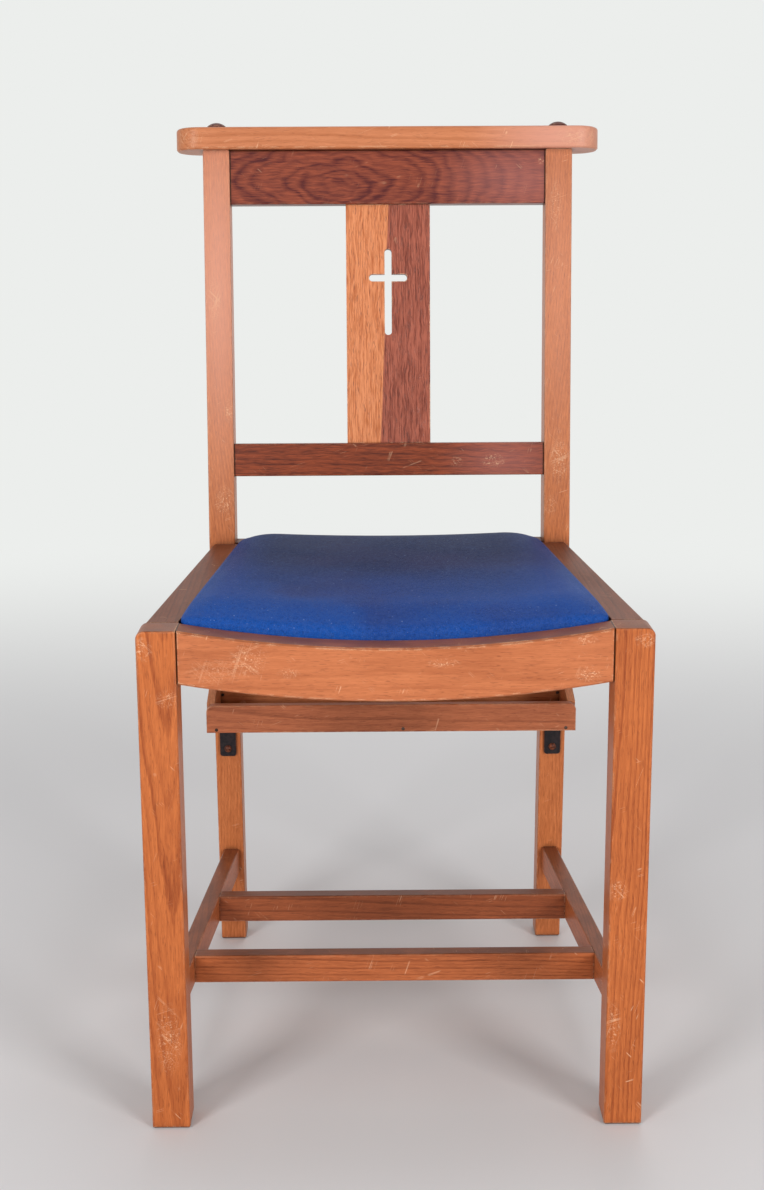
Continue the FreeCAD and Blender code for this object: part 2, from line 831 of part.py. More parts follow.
batten_front = (sizes.leg_face + sizes.seat_depth - sizes.batten_length) / 2
batten_share = sizes.batten_width / seat_half(batten_front)
batten_sink = dish_at(batten_front) * batten_share * (2 - batten_share)
cover_layers = sizes.cover_thick + sizes.layer_gap + sizes.seat_rest_gap
batten_top = sizes.seat_height - sizes.board_top_drop - sizes.board_thick - cover_layers - batten_sink


def seat_batten(name, side):
    batten = start("seat_batten_" + name)
    back = batten_front + sizes.batten_length
    corners = [
        (side_inner(batten_front) * side, batten_front),
        (side_inner(back) * side, back),
        ((side_inner(back) - sizes.batten_width) * side, back),
        ((side_inner(batten_front) - sizes.batten_width) * side, batten_front),
    ]
    plate_from_above(batten, corners, batten_top - sizes.batten_height, batten_top)


# The back: two rails, a splat with a plain cross cut through it, and a cap along the top


def splat_tongue(bottom):
    """Two corners of a tongue of the splat, in the back frame."""
    middle = sizes.back_rail_set_back + sizes.back_rail_thick / 2
    low = (-sizes.splat_width / 2, middle - sizes.splat_tongue_thick / 2, bottom)
    high = (sizes.splat_width / 2, middle + sizes.splat_tongue_thick / 2, bottom + sizes.splat_tongue)
    return low, high


def back_rail(label, bottom, height, tongue):
    rail = start(label, BACK_FRAME)
    low = (-post_inner, sizes.back_rail_set_back, bottom)
    high = (post_inner, sizes.back_rail_set_back + sizes.back_rail_thick, bottom + height)
    block_between(rail, low, high)
    long_edges = []
    for depth in (low[1], high[1]):
        for level in (low[2], high[2]):
            long_edges += edges_at(unplaced(rail), "x", 100.0, y=depth, z=level)
    dress(rail, "Fillet", long_edges, sizes.leg_ease)
    for side in SIDES.values():
        tenon_on(rail, *back_rail_tenon(side, bottom, height))
    mortise(rail, *splat_tongue(tongue))


def back_splat():
    splat = start("back_splat", BACK_FRAME)
    middle = sizes.back_rail_set_back + sizes.back_rail_thick / 2
    front = middle - sizes.splat_thick / 2
    back = middle + sizes.splat_thick / 2
    low = (-sizes.splat_width / 2, front, lower_rail_top)
    high = (sizes.splat_width / 2, back, upper_rail_place)
    block_between(splat, low, high)
    tenon_on(splat, *splat_tongue(lower_rail_top - sizes.splat_tongue))
    tenon_on(splat, *splat_tongue(upper_rail_place))
    top = upper_rail_place - sizes.cross_top_gap
    bar_top = top - sizes.cross_bar_drop + sizes.cross_slot / 2
    slots = (
        (sizes.cross_slot / 2, top - sizes.cross_upright, top),
        (sizes.cross_bar / 2, bar_top - sizes.cross_slot, bar_top),
    )
    for half, low, high in slots:
        corners = [(-half, low), (half, low), (half, high), (-half, high)]
        sketch = draw(splat, "XZ_Plane", corners, lift=-back - 1)
        pocket(splat, sketch, sizes.splat_thick + 2, backwards=True)
    ends = []
    places = [(slot[0], slot[1]) for slot in slots] + [(slot[0], slot[2]) for slot in slots]
    for x, z in places:
        for side in SIDES.values():
            ends += edges_at(unplaced(splat), "y", x=x * side, z=z)
    dress(splat, "Fillet", ends, sizes.cross_slot / 2 - 0.2)


cap_screw_across = post_middle
cap_screw_depth = sizes.back_rail_set_back + sizes.back_rail_thick / 2


def cap_rail():
    cap = start("cap_rail", BACK_FRAME)
    half = cap_length / 2
    front = -sizes.cap_overhang
    back = sizes.cap_depth - sizes.cap_overhang
    bottom = sizes.post_length
    top = bottom + sizes.cap_thick
    block_between(cap, (-half, front, bottom), (half, back, top))
    corners = []
    for side in SIDES.values():
        for depth in (front, back):
            corners += edges_at(unplaced(cap), "z", x=half * side, y=depth)
    dress(cap, "Fillet", corners, sizes.cap_corner)
    for kind, level, size in (("Chamfer", bottom, sizes.cap_ease / 2), ("Fillet", top, sizes.cap_ease)):
        rim = edges_at(unplaced(cap), "x", z=level) + edges_at(unplaced(cap), "y", z=level)
        dress(cap, kind, sorted(set(rim)), size)
    for side in SIDES.values():
        centre = (cap_screw_across * side, cap_screw_depth, top - sizes.cap_bore_depth)
        up = Vector(0, 0, 1)
        round_hole(cap, centre, up, sizes.cap_bore, sizes.cap_bore_depth + 1)
        through = (centre[0], centre[1], bottom - 1)
        round_hole(cap, through, up, sizes.screw_shank + sizes.screw_gap * 2, sizes.cap_thick)


def cap_button(name, side):
    top = sizes.post_length + sizes.cap_thick
    place = Vector(float(cap_screw_across) * side, float(cap_screw_depth), float(top))
    button = start("cap_button_" + name, BACK_FRAME * Placement(place, Rotation()))
    half = sizes.button_width / 2
    spigot = sizes.cap_bore / 2 - sizes.tenon_gap
    rise = sizes.button_height - sizes.button_rim
    corners = [
        (0.0, -sizes.button_spigot),
        (spigot, -sizes.button_spigot),
        (spigot, 0.0),
        (half, 0.0),
        (half, sizes.button_rim),
        (0.0, sizes.button_height),
    ]
    dome = (half * half + rise * rise) / (rise * 2)
    sketch = draw(button, "XZ_Plane", corners, {4: (dome, True)})
    turn = button.newObject("PartDesign::Revolution", button.Label + "_turning")
    turn.Profile = sketch
    turn.ReferenceAxis = (sketch, ["V_Axis"])
    turn.Angle = 360.0
    sketch.Visibility = False
    doc.recompute()


# The book tray: a floor, a lip in front, two sides and a board nailed to the rear legs


def tray_lip():
    lip = start("tray_lip")
    half = half_rear
    bottom = sizes.tray_underside
    top = bottom + sizes.tray_lip_height
    turn = sizes.tray_lip_round
    corners = [
        (-half, bottom),
        (half, bottom),
        (half, top - turn),
        (half - turn, top),
        (-half + turn, top),
        (-half, top - turn),
    ]
    plate_from_front(lip, corners, {2: (turn, True), 4: (turn, True)}, tray_front, tray_lip_back)
    dress(lip, "Fillet", edges_at(unplaced(lip), "x", y=tray_front, z=top), sizes.tray_ease)


def tray_floor():
    floor = start("tray_floor")
    back = leg_front(tray_floor_top)
    block_between(floor, (-half_rear, tray_lip_back, sizes.tray_underside), (half_rear, back, tray_floor_top))


def tray_side(name, side):
    board = start("tray_side_" + name)
    thick = sizes.tray_back_thick
    corners = [
        (tray_lip_back, tray_floor_top),
        (leg_front(tray_floor_top) - thick, tray_floor_top),
        (leg_front(tray_back_top) - thick, tray_back_top - 2),
        (tray_lip_back, sizes.tray_underside + sizes.tray_lip_height),
    ]
    middle = (half_rear - sizes.tray_side_thick / 2) * side
    plate_from_side(board, corners, middle, sizes.tray_side_thick)


def tray_back():
    board = start("tray_back")
    corners = [
        (leg_front(tray_floor_top) - sizes.tray_back_thick, tray_floor_top),
        (leg_front(tray_floor_top), tray_floor_top),
        (leg_front(tray_back_top), tray_back_top),
        (leg_front(tray_back_top) - sizes.tray_back_thick, tray_back_top),
    ]
    plate_from_side(board, corners, as_size(0.0), half_rear * 2)


def tray_bracket(name, side):
    bracket = start("tray_bracket_" + name)
    thick = sizes.bracket_thick
    top = sizes.tray_underside
    low = top - sizes.bracket_down
    corners = [
        (leg_front(low), low),
        (leg_front(top), top),
        (leg_front(top) - sizes.bracket_forward, top),
        (leg_front(top) - sizes.bracket_forward, top - thick),
        (leg_front(top - thick) - thick, top - thick),
        (leg_front(low) - thick, low),
    ]
    plate_from_side(bracket, corners, post_middle * side, sizes.bracket_width)
    shape = unplaced(bracket)
    inner_bend = edges_at(shape, "x", y=corners[4][0], z=corners[4][1])
    dress(bracket, "Fillet", inner_bend, sizes.bracket_thick)
    shape = unplaced(bracket)
    ends = []
    for number, edge in enumerate(shape.Edges, start=1):
        box = edge.BoundBox
        short = box.XLength < 0.01 and box.DiagonalLength < float(thick) * 1.1
        at_low = box.ZMax < float(low) + 0.01
        at_front = box.YMax < float(corners[2][0]) + 0.01
        if short and (at_low or at_front):
            ends.append("Edge%d" % number)
    dress(bracket, "Fillet", ends, sizes.bracket_corner)


# The loose seat: a bent board, a foam and a sheet cover that is drawn over both and tacked underneath

SEAT_STATIONS = (
    # end it is counted from, place along the seat, share of the crown, how much narrower
    ("front", 0.0, 0.08, 4.0),
    ("front", 2.5, 0.28, 1.4),
    ("front", 7.0, 0.48, 0.0),
    ("front", 18.0, 0.74, 0.0),
    ("front", 42.0, 0.94, 0.0),
    ("front", 130.0, 1.0, 0.0),
    ("rear", 130.0, 1.0, 0.0),
    ("rear", 42.0, 0.97, 0.0),
    ("rear", 14.0, 0.74, 0.0),
    ("rear", 5.0, 0.43, 0.8),
    ("rear", 0.0, 0.08, 4.0),
)

seat_front = front_rail_back + sizes.seat_gap
seat_rear = rear_rail_front - sizes.seat_gap


def seat_section(body, place, crown, narrower, inset, low_drop):
    """One cross section of the padded seat, at a place from front to back.

    Its underside and its top follow the dish, the top stands above it by the crown, and an arc over each
    shoulder draws the sides in. The shoulder meets the dish without a crease.
    """
    rise_here = sizes.crown * crown
    whole = seat_half(place)
    wide = whole - narrower - inset
    inner = wide - sizes.shoulder
    dish = dish_at(place)
    wide_dip = dish * (wide / whole) * (wide / whole)
    inner_dip = dish * (inner / whole) * (inner / whole)
    rim = sizes.seat_height - dish + wide_dip
    low = rim - low_drop
    edge = rim - 1 - inset
    shoulder = sizes.seat_height - dish + inner_dip + rise_here - inset
    rise = shoulder - edge
    slope = dish * 2 * inner / (whole * whole)
    under = (wide * wide + wide_dip * wide_dip) / (wide_dip * 2)
    turn = (sizes.shoulder * sizes.shoulder + rise * rise) / ((rise + sizes.shoulder * slope) * 2)
    over = (inner * inner + inner_dip * inner_dip) / (inner_dip * 2)
    corners = [
        (-wide, low),
        (wide, low),
        (wide, edge),
        (inner, shoulder),
        (-inner, shoulder),
        (-wide, edge),
    ]
    arcs = {0: (under, True), 2: (turn, True), 3: (over, False), 4: (turn, True)}
    return draw(body, "XZ_Plane", corners, arcs, lift=-place)


def seat_loft(body, kind, inset, low_drop):
    """A skin through every cross section of the padded seat, drawn in by an inset all round."""
    sections = []
    for end, step, crown, narrower in SEAT_STATIONS:
        place = seat_front + inset + step if end == "front" else seat_rear - inset - step
        sections.append(seat_section(body, place, crown, narrower, inset, low_drop))
    loft = body.newObject("PartDesign::" + kind, body.Label + "_" + kind)
    loft.Profile = sections[0]
    loft.Sections = sections[1:]
    loft.Ruled = True
    for sketch in sections:
        sketch.Visibility = False
    doc.recompute()


def seat_cover():
    cover = start("seat_cover")
    bottom = sizes.board_top_drop + sizes.board_thick + sizes.layer_gap + sizes.cover_thick
    seat_loft(cover, "AdditiveLoft", as_size(0.0), bottom)
    inside = bottom - sizes.cover_thick
    seat_loft(cover, "SubtractiveLoft", sizes.cover_thick, inside)
    hem = sizes.cover_hem
    front = seat_front + hem
    rear = seat_rear - hem
    corners = [
        (-seat_half(front) + hem, front),
        (seat_half(front) - hem, front),
        (seat_half(rear) - hem, rear),
        (-seat_half(rear) + hem, rear),
    ]
    low = sizes.seat_height - bottom - sizes.front_dish - 1
    sketch = draw(cover, "XY_Plane", corners, lift=low)
    pocket(cover, sketch, sizes.front_dish + sizes.cover_thick + 3, backwards=True)


def seat_foam():
    foam = start("seat_foam")
    inset = sizes.cover_thick + sizes.layer_gap
    seat_loft(foam, "AdditiveLoft", inset, sizes.board_top_drop - sizes.layer_gap)


def seat_board():
    board = start("seat_board")
    inset = sizes.cover_thick * 2
    sections = []
    for place in (seat_front + inset, seat_rear - inset):
        whole = seat_half(place)
        wide = whole - inset
        dip = dish_at(place) * (wide / whole) * (wide / whole)
        bend = (wide * wide + dip * dip) / (dip * 2)
        top = sizes.seat_height - sizes.board_top_drop - dish_at(place) + dip
        low = top - sizes.board_thick
        corners = [(-wide, low), (wide, low), (wide, top), (-wide, top)]
        sections.append(draw(board, "XZ_Plane", corners, {0: (bend, True), 2: (bend, False)}, lift=-place))
    loft = board.newObject("PartDesign::AdditiveLoft", "seat_board_AdditiveLoft")
    loft.Profile = sections[0]
    loft.Sections = sections[1:]
    loft.Ruled = True
    doc.recompute()
    cut = sizes.board_corner
    bottom = sizes.seat_height - sizes.front_dish - sizes.board_top_drop - sizes.board_thick - 1
    for side in SIDES.values():
        for place, way in ((seat_front + inset, 1), (seat_rear - inset, -1)):
            corners = [
                ((seat_half(place) - inset - cut) * side, place),
                ((seat_half(place) + cut) * side, place - cut * way),
                ((seat_half(place) + cut) * side, place + cut * way),
                ((seat_half(place) - inset) * side, place + cut * way),
            ]
            sketch = draw(board, "XY_Plane", corners, lift=bottom)
            pocket(board, sketch, sizes.seat_height - bottom, backwards=True)


# Screws, nails and staples. Each is its own solid. A screw has a clearance hole in the piece under its
# head, and bites into the piece behind it. Their round sections are drawn with flat sides.


def stepped(levels, sides):
    """A solid through flat-sided rings, each level a height and a radius."""
    rings = []
    for height, radius in levels:
        turn = 2 * math.pi / sides
        corners = [
            Vector(radius * math.cos(turn * step), radius * math.sin(turn * step), height)
            for step in range(sides)
        ]
        rings.append(Part.makePolygon(corners + corners[:1]))
    return Part.makeLoft(rings, True, True)


def flat_screw(long):
    """A countersunk wood screw on its point: its head widens above Z = 0, its shank is below."""
    shank = SIZES["screw_shank"] / 2
    head = SIZES["screw_head"] / 2
    high = SIZES["screw_head_high"]
    return stepped([(-long, 0.1 * shank), (2 * shank - long, shank), (0, shank), (high, head)], 10)


def round_screw(long):
    """A wood screw with a slotted, domed head above Z = 0."""
    shank = SIZES["screw_shank"] / 2
    head = SIZES["screw_head"] / 2
    high = SIZES["screw_head_high"]
    dome = [(0, head), (0.35 * high, 0.96 * head), (0.75 * high, 0.7 * head), (high, 0.25 * head)]
    solid = stepped(dome, 16).fuse(stepped([(-long, 0.1 * shank), (2 * shank - long, shank), (0, shank)], 10))
    slot = Part.makeBox(2.4 * head, 1.0, high, Vector(-1.2 * head, -0.5, 0.45 * high))
    return solid.cut(slot)


def nail(long):
    shank = SIZES["nail_shank"] / 2
    head = SIZES["nail_head"] / 2
    levels = [(-long, 0.1 * shank), (3 * shank - long, shank), (0, shank)]
    return stepped([(0, head), (SIZES["nail_head_high"], head)], 8).fuse(stepped(levels, 8))


def drive(label, shape_of, spots, frame=SEAT_FRAME):
    """Puts a fastener at every spot.

    A spot is the point under the head, the way the fastener goes in, its length, how far the head lies
    under the surface, and the piece that has a clearance hole for it, if one has.
    """
    solids = []
    for point, way, long, sunk, drilled in spots:
        point = Vector(*[float(value) for value in point])
        way = Vector(*way)
        solid = shape_of(float(long))
        solid.Placement = Placement(point, Rotation(Vector(0, 0, -1), way))
        solids.append(solid)
        if drilled:
            body = doc.getObject(drilled)
            into = body.Placement.inverse() * frame
            heading = into.Rotation.multVec(way)
            gap = sizes.screw_gap * 2
            round_hole(body, into.multVec(point - way), heading, sizes.screw_shank + gap, as_size(long))
            if float(sunk) > 0:
                round_hole(body, into.multVec(point), heading * -1, sizes.screw_head + gap, as_size(sunk) + 2)
    group(label, solids, frame)


def cap_screws():
    spots = []
    for side in SIDES.values():
        top = sizes.post_length + sizes.cap_thick - sizes.cap_bore_depth
        point = (cap_screw_across * side, cap_screw_depth, top)
        spots.append((point, (0, 0, -1), sizes.cap_screw_long, 0, None))
    drive("cap_screws", flat_screw, spots, BACK_FRAME)


def batten_screws():
    spots = []
    head = sizes.screw_head_high
    for name, side in SIDES.items():
        for share in (0.1, 0.5, 0.9):
            place = batten_front + sizes.batten_length * share
            across = (side_inner(place) - sizes.batten_width + head + 0.5) * side
            point = (across, place, batten_top - sizes.batten_height / 2)
            spots.append((point, (side, 0, 0), sizes.batten_screw_long, head, "seat_batten_" + name))
    drive("batten_screws", flat_screw, spots)


def corner_block_screws():
    spots = []
    level = block_top - sizes.block_height / 2
    deep = sizes.screw_head_high + 1.5
    beyond = sizes.block_reach - sizes.block_screw_place
    for end, way, wall in (("front", 1, front_rail_back), ("rear", -1, rear_rail_front)):
        for name, side in SIDES.items():
            block = "corner_block_%s_%s" % (end, name)
            across = side_inner(wall) - sizes.block_screw_place
            point = (across * side, wall + (beyond - deep) * way, level)
            spots.append((point, (0, -way, 0), sizes.block_screw_long, deep + 4, block))
            place = wall + sizes.block_screw_place * way
            point = ((side_inner(place) - beyond + deep) * side, place, level)
            spots.append((point, (side, 0, 0), sizes.block_screw_long, deep + 4, block))
    drive("corner_block_screws", flat_screw, spots)


def tray_nails():
    spots = []
    level = sizes.tray_underside + sizes.tray_floor_thick / 2
    edge = half_rear - sizes.nail_inset
    proud = sizes.nail_head_high - sizes.nail_proud
    for across in (-edge, sizes.middle_nail_across, edge):
        point = (across, tray_front + proud, level)
        spots.append((point, (0, 1, 0), sizes.nail_long, 0, None))
    for side in SIDES.values():
        for height in (sizes.back_nail_low, sizes.back_nail_high):
            point = (edge * side, leg_front(height) - sizes.tray_back_thick + proud, height)
            spots.append((point, (0, 1, 0), sizes.nail_long, 0, None))
    drive("tray_nails", nail, spots)


def bracket_screws():
    into_leg = []
    into_tray = []
    square_to_leg = (0, math.cos(SPLAY), math.sin(SPLAY))
    out = sizes.bracket_thick + 0.05
    low = sizes.tray_underside - sizes.bracket_down
    for name, side in SIDES.items():
        bracket = "tray_bracket_" + name
        for height in (low + sizes.bracket_hole_low, low + sizes.bracket_hole_high):
            point = (post_middle * side, leg_front(height) - out, height)
            into_leg.append((point, square_to_leg, sizes.leg_screw_long, 0, bracket))
        for step in (0.36, 0.76):
            place = leg_front(sizes.tray_underside) - sizes.bracket_forward * step
            point = (post_middle * side, place, sizes.tray_underside - out)
            into_tray.append((point, (0, 0, 1), sizes.tray_screw_long, 0, bracket))
    drive("bracket_leg_screws", round_screw, into_leg)
    drive("bracket_tray_screws", round_screw, into_tray)


def staple(point, turned_across):
    """A staple under the hem, its legs up through the sheet into the board."""
    wire = SIZES["staple_wire"]
    wide = SIZES["staple_width"]
    tall = SIZES["staple_leg"] + wire
    crown = Part.makeBox(wide, wire, wire, Vector(-wide / 2, -wire / 2, -wire))
    legs = [
        Part.makeBox(wire, wire, tall, Vector(across, -wire / 2, -wire))
        for across in (-wide / 2, wide / 2 - wire)
    ]
    solid = crown.multiFuse(legs).removeSplitter()
    solid.Placement = Placement(point, Rotation(Vector(0, 0, 1), 0 if turned_across else 90))
    return solid


def cover_staples():
    solids = []
    drop = sizes.board_top_drop + sizes.board_thick + sizes.layer_gap + sizes.cover_thick
    margin = sizes.cover_hem - 4

    def under(across, place):
        share = float(across) / float(seat_half(place))
        height = float(sizes.seat_height - drop) - float(dish_at(place)) * (1 - share * share)
        return Vector(float(across), float(place), height)

    for count in range(6):
        place = seat_front + (seat_rear - seat_front) * ((count + 0.5) / 6)
        for side in SIDES.values():
            solids.append(staple(under((seat_half(place) - margin) * side, place), False))
    for place in (seat_front + margin, seat_rear - margin):
        for count in range(5):
            across = seat_half(place) * ((count - 2) * 0.38)
            solids.append(staple(under(across, place), True))
    group("cover_staples", solids)


BACK_RAILS = (
    (upper_rail_place, sizes.upper_rail_height),
    (sizes.lower_rail_place, sizes.lower_rail_height),
)
front_seat_rail()
rear_seat_rail()
for side_name, side_sign in SIDES.items():
    front_leg(side_name, side_sign)
    rear_leg(side_name, side_sign)
    side_seat_rail(side_name, side_sign)
    side_stretcher(side_name, side_sign)
    seat_batten(side_name, side_sign)
    cap_button(side_name, side_sign)
    tray_side(side_name, side_sign)
    tray_bracket(side_name, side_sign)
    for end_name in ("front", "rear"):
        corner_block(end_name, side_name, side_sign)
for end_name, (near_face, far_face) in cross_places().items():
    cross_stretcher(end_name, near_face, far_face)
back_rail("upper_back_rail", upper_rail_place, sizes.upper_rail_height, upper_rail_place)
back_rail(
    "lower_back_rail", sizes.lower_rail_place, sizes.lower_rail_height, lower_rail_top - sizes.splat_tongue
)
back_splat()
cap_rail()
tray_lip()
tray_floor()
tray_back()
seat_board()
seat_foam()
seat_cover()
cap_screws()
batten_screws()
corner_block_screws()
tray_nails()
bracket_screws()
cover_staples()

# Every piece has to be whole before it is written

doc.recompute()
for thing in doc.Objects:
    if "Invalid" in thing.State or "Error" in thing.State:
        raise RuntimeError("%s is %s" % (thing.Name, thing.State))
os.makedirs("parts", exist_ok=True)
for thing in made:
    shape = thing.Shape
    if shape.isNull() or not shape.isValid():
        raise RuntimeError(thing.Label + " has no sound shape")
    shape.exportStep("parts/%s.step" % thing.Label)
    print(thing.Label, len(shape.Solids), round(shape.Volume))
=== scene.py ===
# %% [markdown]
# # A choir chair in varnished wood
#
# This lesson dresses one real object: a small wooden chair from a church, with a
# blue padded seat, a cross cut through its back splat and a tray for hymn books
# under the seat. The hard parts come ready made from a CAD program, in their true
# sizes. Blender never moves or reshapes them. It gives them wood, varnish, wear,
# enamel and steel, and it models the one soft thing, the padded seat.

import bpy
import numpy as np
from mathutils import Matrix, Vector


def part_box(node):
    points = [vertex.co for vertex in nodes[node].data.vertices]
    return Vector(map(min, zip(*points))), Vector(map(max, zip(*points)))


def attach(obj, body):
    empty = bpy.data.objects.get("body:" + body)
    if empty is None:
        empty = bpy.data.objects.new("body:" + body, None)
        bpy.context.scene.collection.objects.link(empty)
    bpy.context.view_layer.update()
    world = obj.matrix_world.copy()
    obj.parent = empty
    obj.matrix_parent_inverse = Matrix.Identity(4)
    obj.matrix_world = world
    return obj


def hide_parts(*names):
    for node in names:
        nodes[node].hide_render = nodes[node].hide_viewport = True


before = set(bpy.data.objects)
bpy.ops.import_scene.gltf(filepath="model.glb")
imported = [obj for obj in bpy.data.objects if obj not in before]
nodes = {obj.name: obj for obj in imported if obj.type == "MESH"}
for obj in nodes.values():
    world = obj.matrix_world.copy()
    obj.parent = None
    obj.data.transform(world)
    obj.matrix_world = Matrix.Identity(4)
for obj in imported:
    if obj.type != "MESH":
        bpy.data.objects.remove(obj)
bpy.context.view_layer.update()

print("CAD nodes:", len(nodes))

# %% [markdown]
# ## The camera
#
# The photograph was taken from in front of the chair, a little below the height of
# its cap. With the seat at 450 mm, the places of the chair's straight edges in the
# picture say where the lens was: 1.6 m in front of the chair's middle, 0.78 m above
# the floor, tipped 12.5 degrees down. A camera looks along its own -Z, so its three
# axes can be written down directly: right, up and back.

# %% Set the camera
TIP = np.radians(-12.457)
TURN = 0.0078
LEAN = np.radians(-0.278)
LENS_PLACE = (-0.0219, -1.6139, 0.7845)
LENS_LENGTH = 52.13
SENSOR = 36.0

ahead = Vector((np.sin(TURN) * np.cos(TIP), np.cos(TURN) * np.cos(TIP), np.sin(TIP)))
level = Vector((np.cos(TURN), -np.sin(TURN), 0.0))
upward = level.cross(ahead)
right = np.cos(LEAN) * level + np.sin(LEAN) * upward
up = np.cos(LEAN) * upward - np.sin(LEAN) * level

camera = bpy.data.objects.new("camera", bpy.data.cameras.new("camera"))
bpy.context.scene.collection.objects.link(camera)
camera.data.lens = LENS_LENGTH
camera.data.sensor_width = SENSOR
turned = Matrix((right, up, -ahead)).transposed().to_4x4()
camera.matrix_world = Matrix.Translation(LENS_PLACE) @ turned
bpy.context.scene.camera = camera
print("camera at", LENS_PLACE, "with a", camera.data.lens, "mm lens")

# %% [markdown]
# ## Colours as the eye reads them
#
# A colour picked off a screen is 0 to 255 for each of red, green and blue. Light
# adds up in linear values instead, so every colour goes through the curve that
# screens use, backwards.

# %% Turn a screen colour into light
def colour(red, green, blue):
    """Screen values 0 to 255 as linear light: a straight toe, then the power 2.4."""
    screen = np.array([red, green, blue]) / 255
    curve = ((screen + 0.055) / 1.055) ** 2.4
    linear = np.where(screen <= 0.04045, screen / 12.92, curve)
    return (*linear.tolist(), 1.0)


print("white as linear light:", colour(255, 255, 255)[:3])

# %% [markdown]
# ## Short words for shader nodes
#
# Materials and the sky are chains of small nodes. Written out one by one they would
# hide the idea, so each is a Recipe here, with a call that makes any node with its
# settings and sockets filled in. There are many sums, so sums get calls of their
# own, which return a socket that can go straight into the next call.

# %% Start a recipe and do sums in it
class Recipe:
    """The node tree of a material or a world, empty at first."""

    def __init__(self, owner):
        owner.use_nodes = True
        self.tree = owner.node_tree
        self.tree.nodes.clear()

    def node(self, kind, values=None, **settings):
        """One node, its settings made, and its sockets filled or linked."""
        made = self.tree.nodes.new(kind)
        for name, value in settings.items():
            setattr(made, name, value)
        for name, value in (values or {}).items():
            socket = made.inputs[name]
            if isinstance(value, bpy.types.NodeSocket):
                self.tree.links.new(value, socket)
            else:
                socket.default_value = value
        return made

    def maths(self, operation, *numbers, clamp=False):
        """One sum on one, two or three numbers."""
        values = dict(enumerate(numbers))
        made = self.node("ShaderNodeMath", values, operation=operation, use_clamp=clamp)
        return made.outputs[0]

    def times(self, first, second):
        """Two numbers multiplied."""
        return self.maths("MULTIPLY", first, second)

    def line(self, value, slope, start):
        """A straight line: value times slope, plus start."""
        return self.maths("MULTIPLY_ADD", value, slope, start)


print("a recipe can", [name for name in vars(Recipe) if not name.startswith("_")])

# %% [markdown]
# ## Words for patterns
#
# Patterns are made of a few more steps: count a place in other units, take smooth
# noise there, let a number rise from 0 to 1 between two limits, bend it by a ramp,
# and blend two colours by it. Each of these calls returns a socket too.

# %% Add the words for patterns
class Pattern(Recipe):
    """A recipe with the calls that patterns need."""

    def stretch(self, vector, scale):
        """The same place, counted in other units along each axis."""
        return self.node("ShaderNodeMapping", {"Vector": vector, "Scale": scale}).outputs[0]

    def noise(self, vector, seed, detail=2.0, rough=0.5):
        """Smooth noise about 1 unit across, from 0 to 1, with a middle near 0.5."""
        values = {"Vector": vector, "W": seed, "Scale": 1.0, "Detail": detail, "Roughness": rough}
        return self.node("ShaderNodeTexNoise", values, noise_dimensions="4D").outputs[0]

    def rise(self, value, low, high):
        """0 below low, 1 above high, and a smooth step between; low may be the larger."""
        values = {0: value, 1: low, 2: high}
        return self.node("ShaderNodeMapRange", values, interpolation_type="SMOOTHSTEP").outputs[0]

    def length(self, vector):
        """How long a vector is."""
        return self.node("ShaderNodeVectorMath", {0: vector}, operation="LENGTH").outputs["Value"]

    def evenness(self, radius):
        """1 on even ground, less near edges: the true normal dot the one eased over radius."""
        eased = self.node("ShaderNodeBevel", {"Radius": radius}, samples=4).outputs[0]
        both = {0: eased, 1: self.node("ShaderNodeNewGeometry").outputs["Normal"]}
        return self.node("ShaderNodeVectorMath", both, operation="DOT_PRODUCT").outputs["Value"]

    def ramp(self, value, *stops):
        """A number turned into another by straight lines through the stops."""
        made = self.node("ShaderNodeValToRGB", {0: value})
        made.color_ramp.elements.remove(made.color_ramp.elements[1])
        for number, (place, level) in enumerate(stops):
            element = made.color_ramp.elements[0] if number == 0 else made.color_ramp.elements.new(place)
            element.position = place
            element.color = (level, level, level, 1.0)
        return made.outputs[0]

    def blend(self, share, first, second, how="MIX"):
        """Two colours mixed, with the share of the second."""
        values = {0: share, 6: first, 7: second}
        return self.node("ShaderNodeMix", values, data_type="RGBA", blend_type=how).outputs[2]


print("a pattern adds", [name for name in vars(Pattern) if not name.startswith("_")])

# %% [markdown]
# ## From pattern to finish
#
# A finish is a material. Its patterns start from the place on the piece in metres,
# and its last call is the surface itself, where colour, gloss and relief meet. Very
# short eased edges catch the light, as they do on every real piece.

# %% Turn patterns into a finish
class Finish(Pattern):
    """A material, with its place in metres and the call that ends it."""

    def __init__(self, name):
        self.material = bpy.data.materials.new(name)
        super().__init__(self.material)
        self.place = self.node("ShaderNodeTexCoord").outputs["Object"]

    def surface(self, values, height, depth, strength=0.5, soften=0.0006):
        """The shader itself: eased edges first, then the relief, then gloss and colour."""
        eased = self.node("ShaderNodeBevel", {"Radius": soften}, samples=4).outputs[0]
        relief = {"Height": height, "Distance": depth, "Strength": strength, "Normal": eased}
        normal = self.node("ShaderNodeBump", relief).outputs[0]
        shader = self.node("ShaderNodeBsdfPrincipled", {**values, "Normal": normal})
        self.node("ShaderNodeOutputMaterial", {0: shader.outputs[0]})


def wear_finish(node, finish):
    """Puts a finish on a CAD node in place of whatever it came with."""
    nodes[node].data.materials.clear()
    nodes[node].data.materials.append(finish.material)


print("a finish adds", [name for name in vars(Finish) if not name.startswith("_")])

# %% [markdown]
# ## The room
#
# The stage is a plain pale floor and a pale, even sky all round, so that the chair
# can be looked at from any side and nothing stands behind it. The floor is a round
# disc: rings of points about the middle, joined by four-sided faces, with a fan of
# triangles at the hub.

# %% Lay the floor
PALE = colour(236, 238, 236)
FLOOR_RADIUS = 9.0


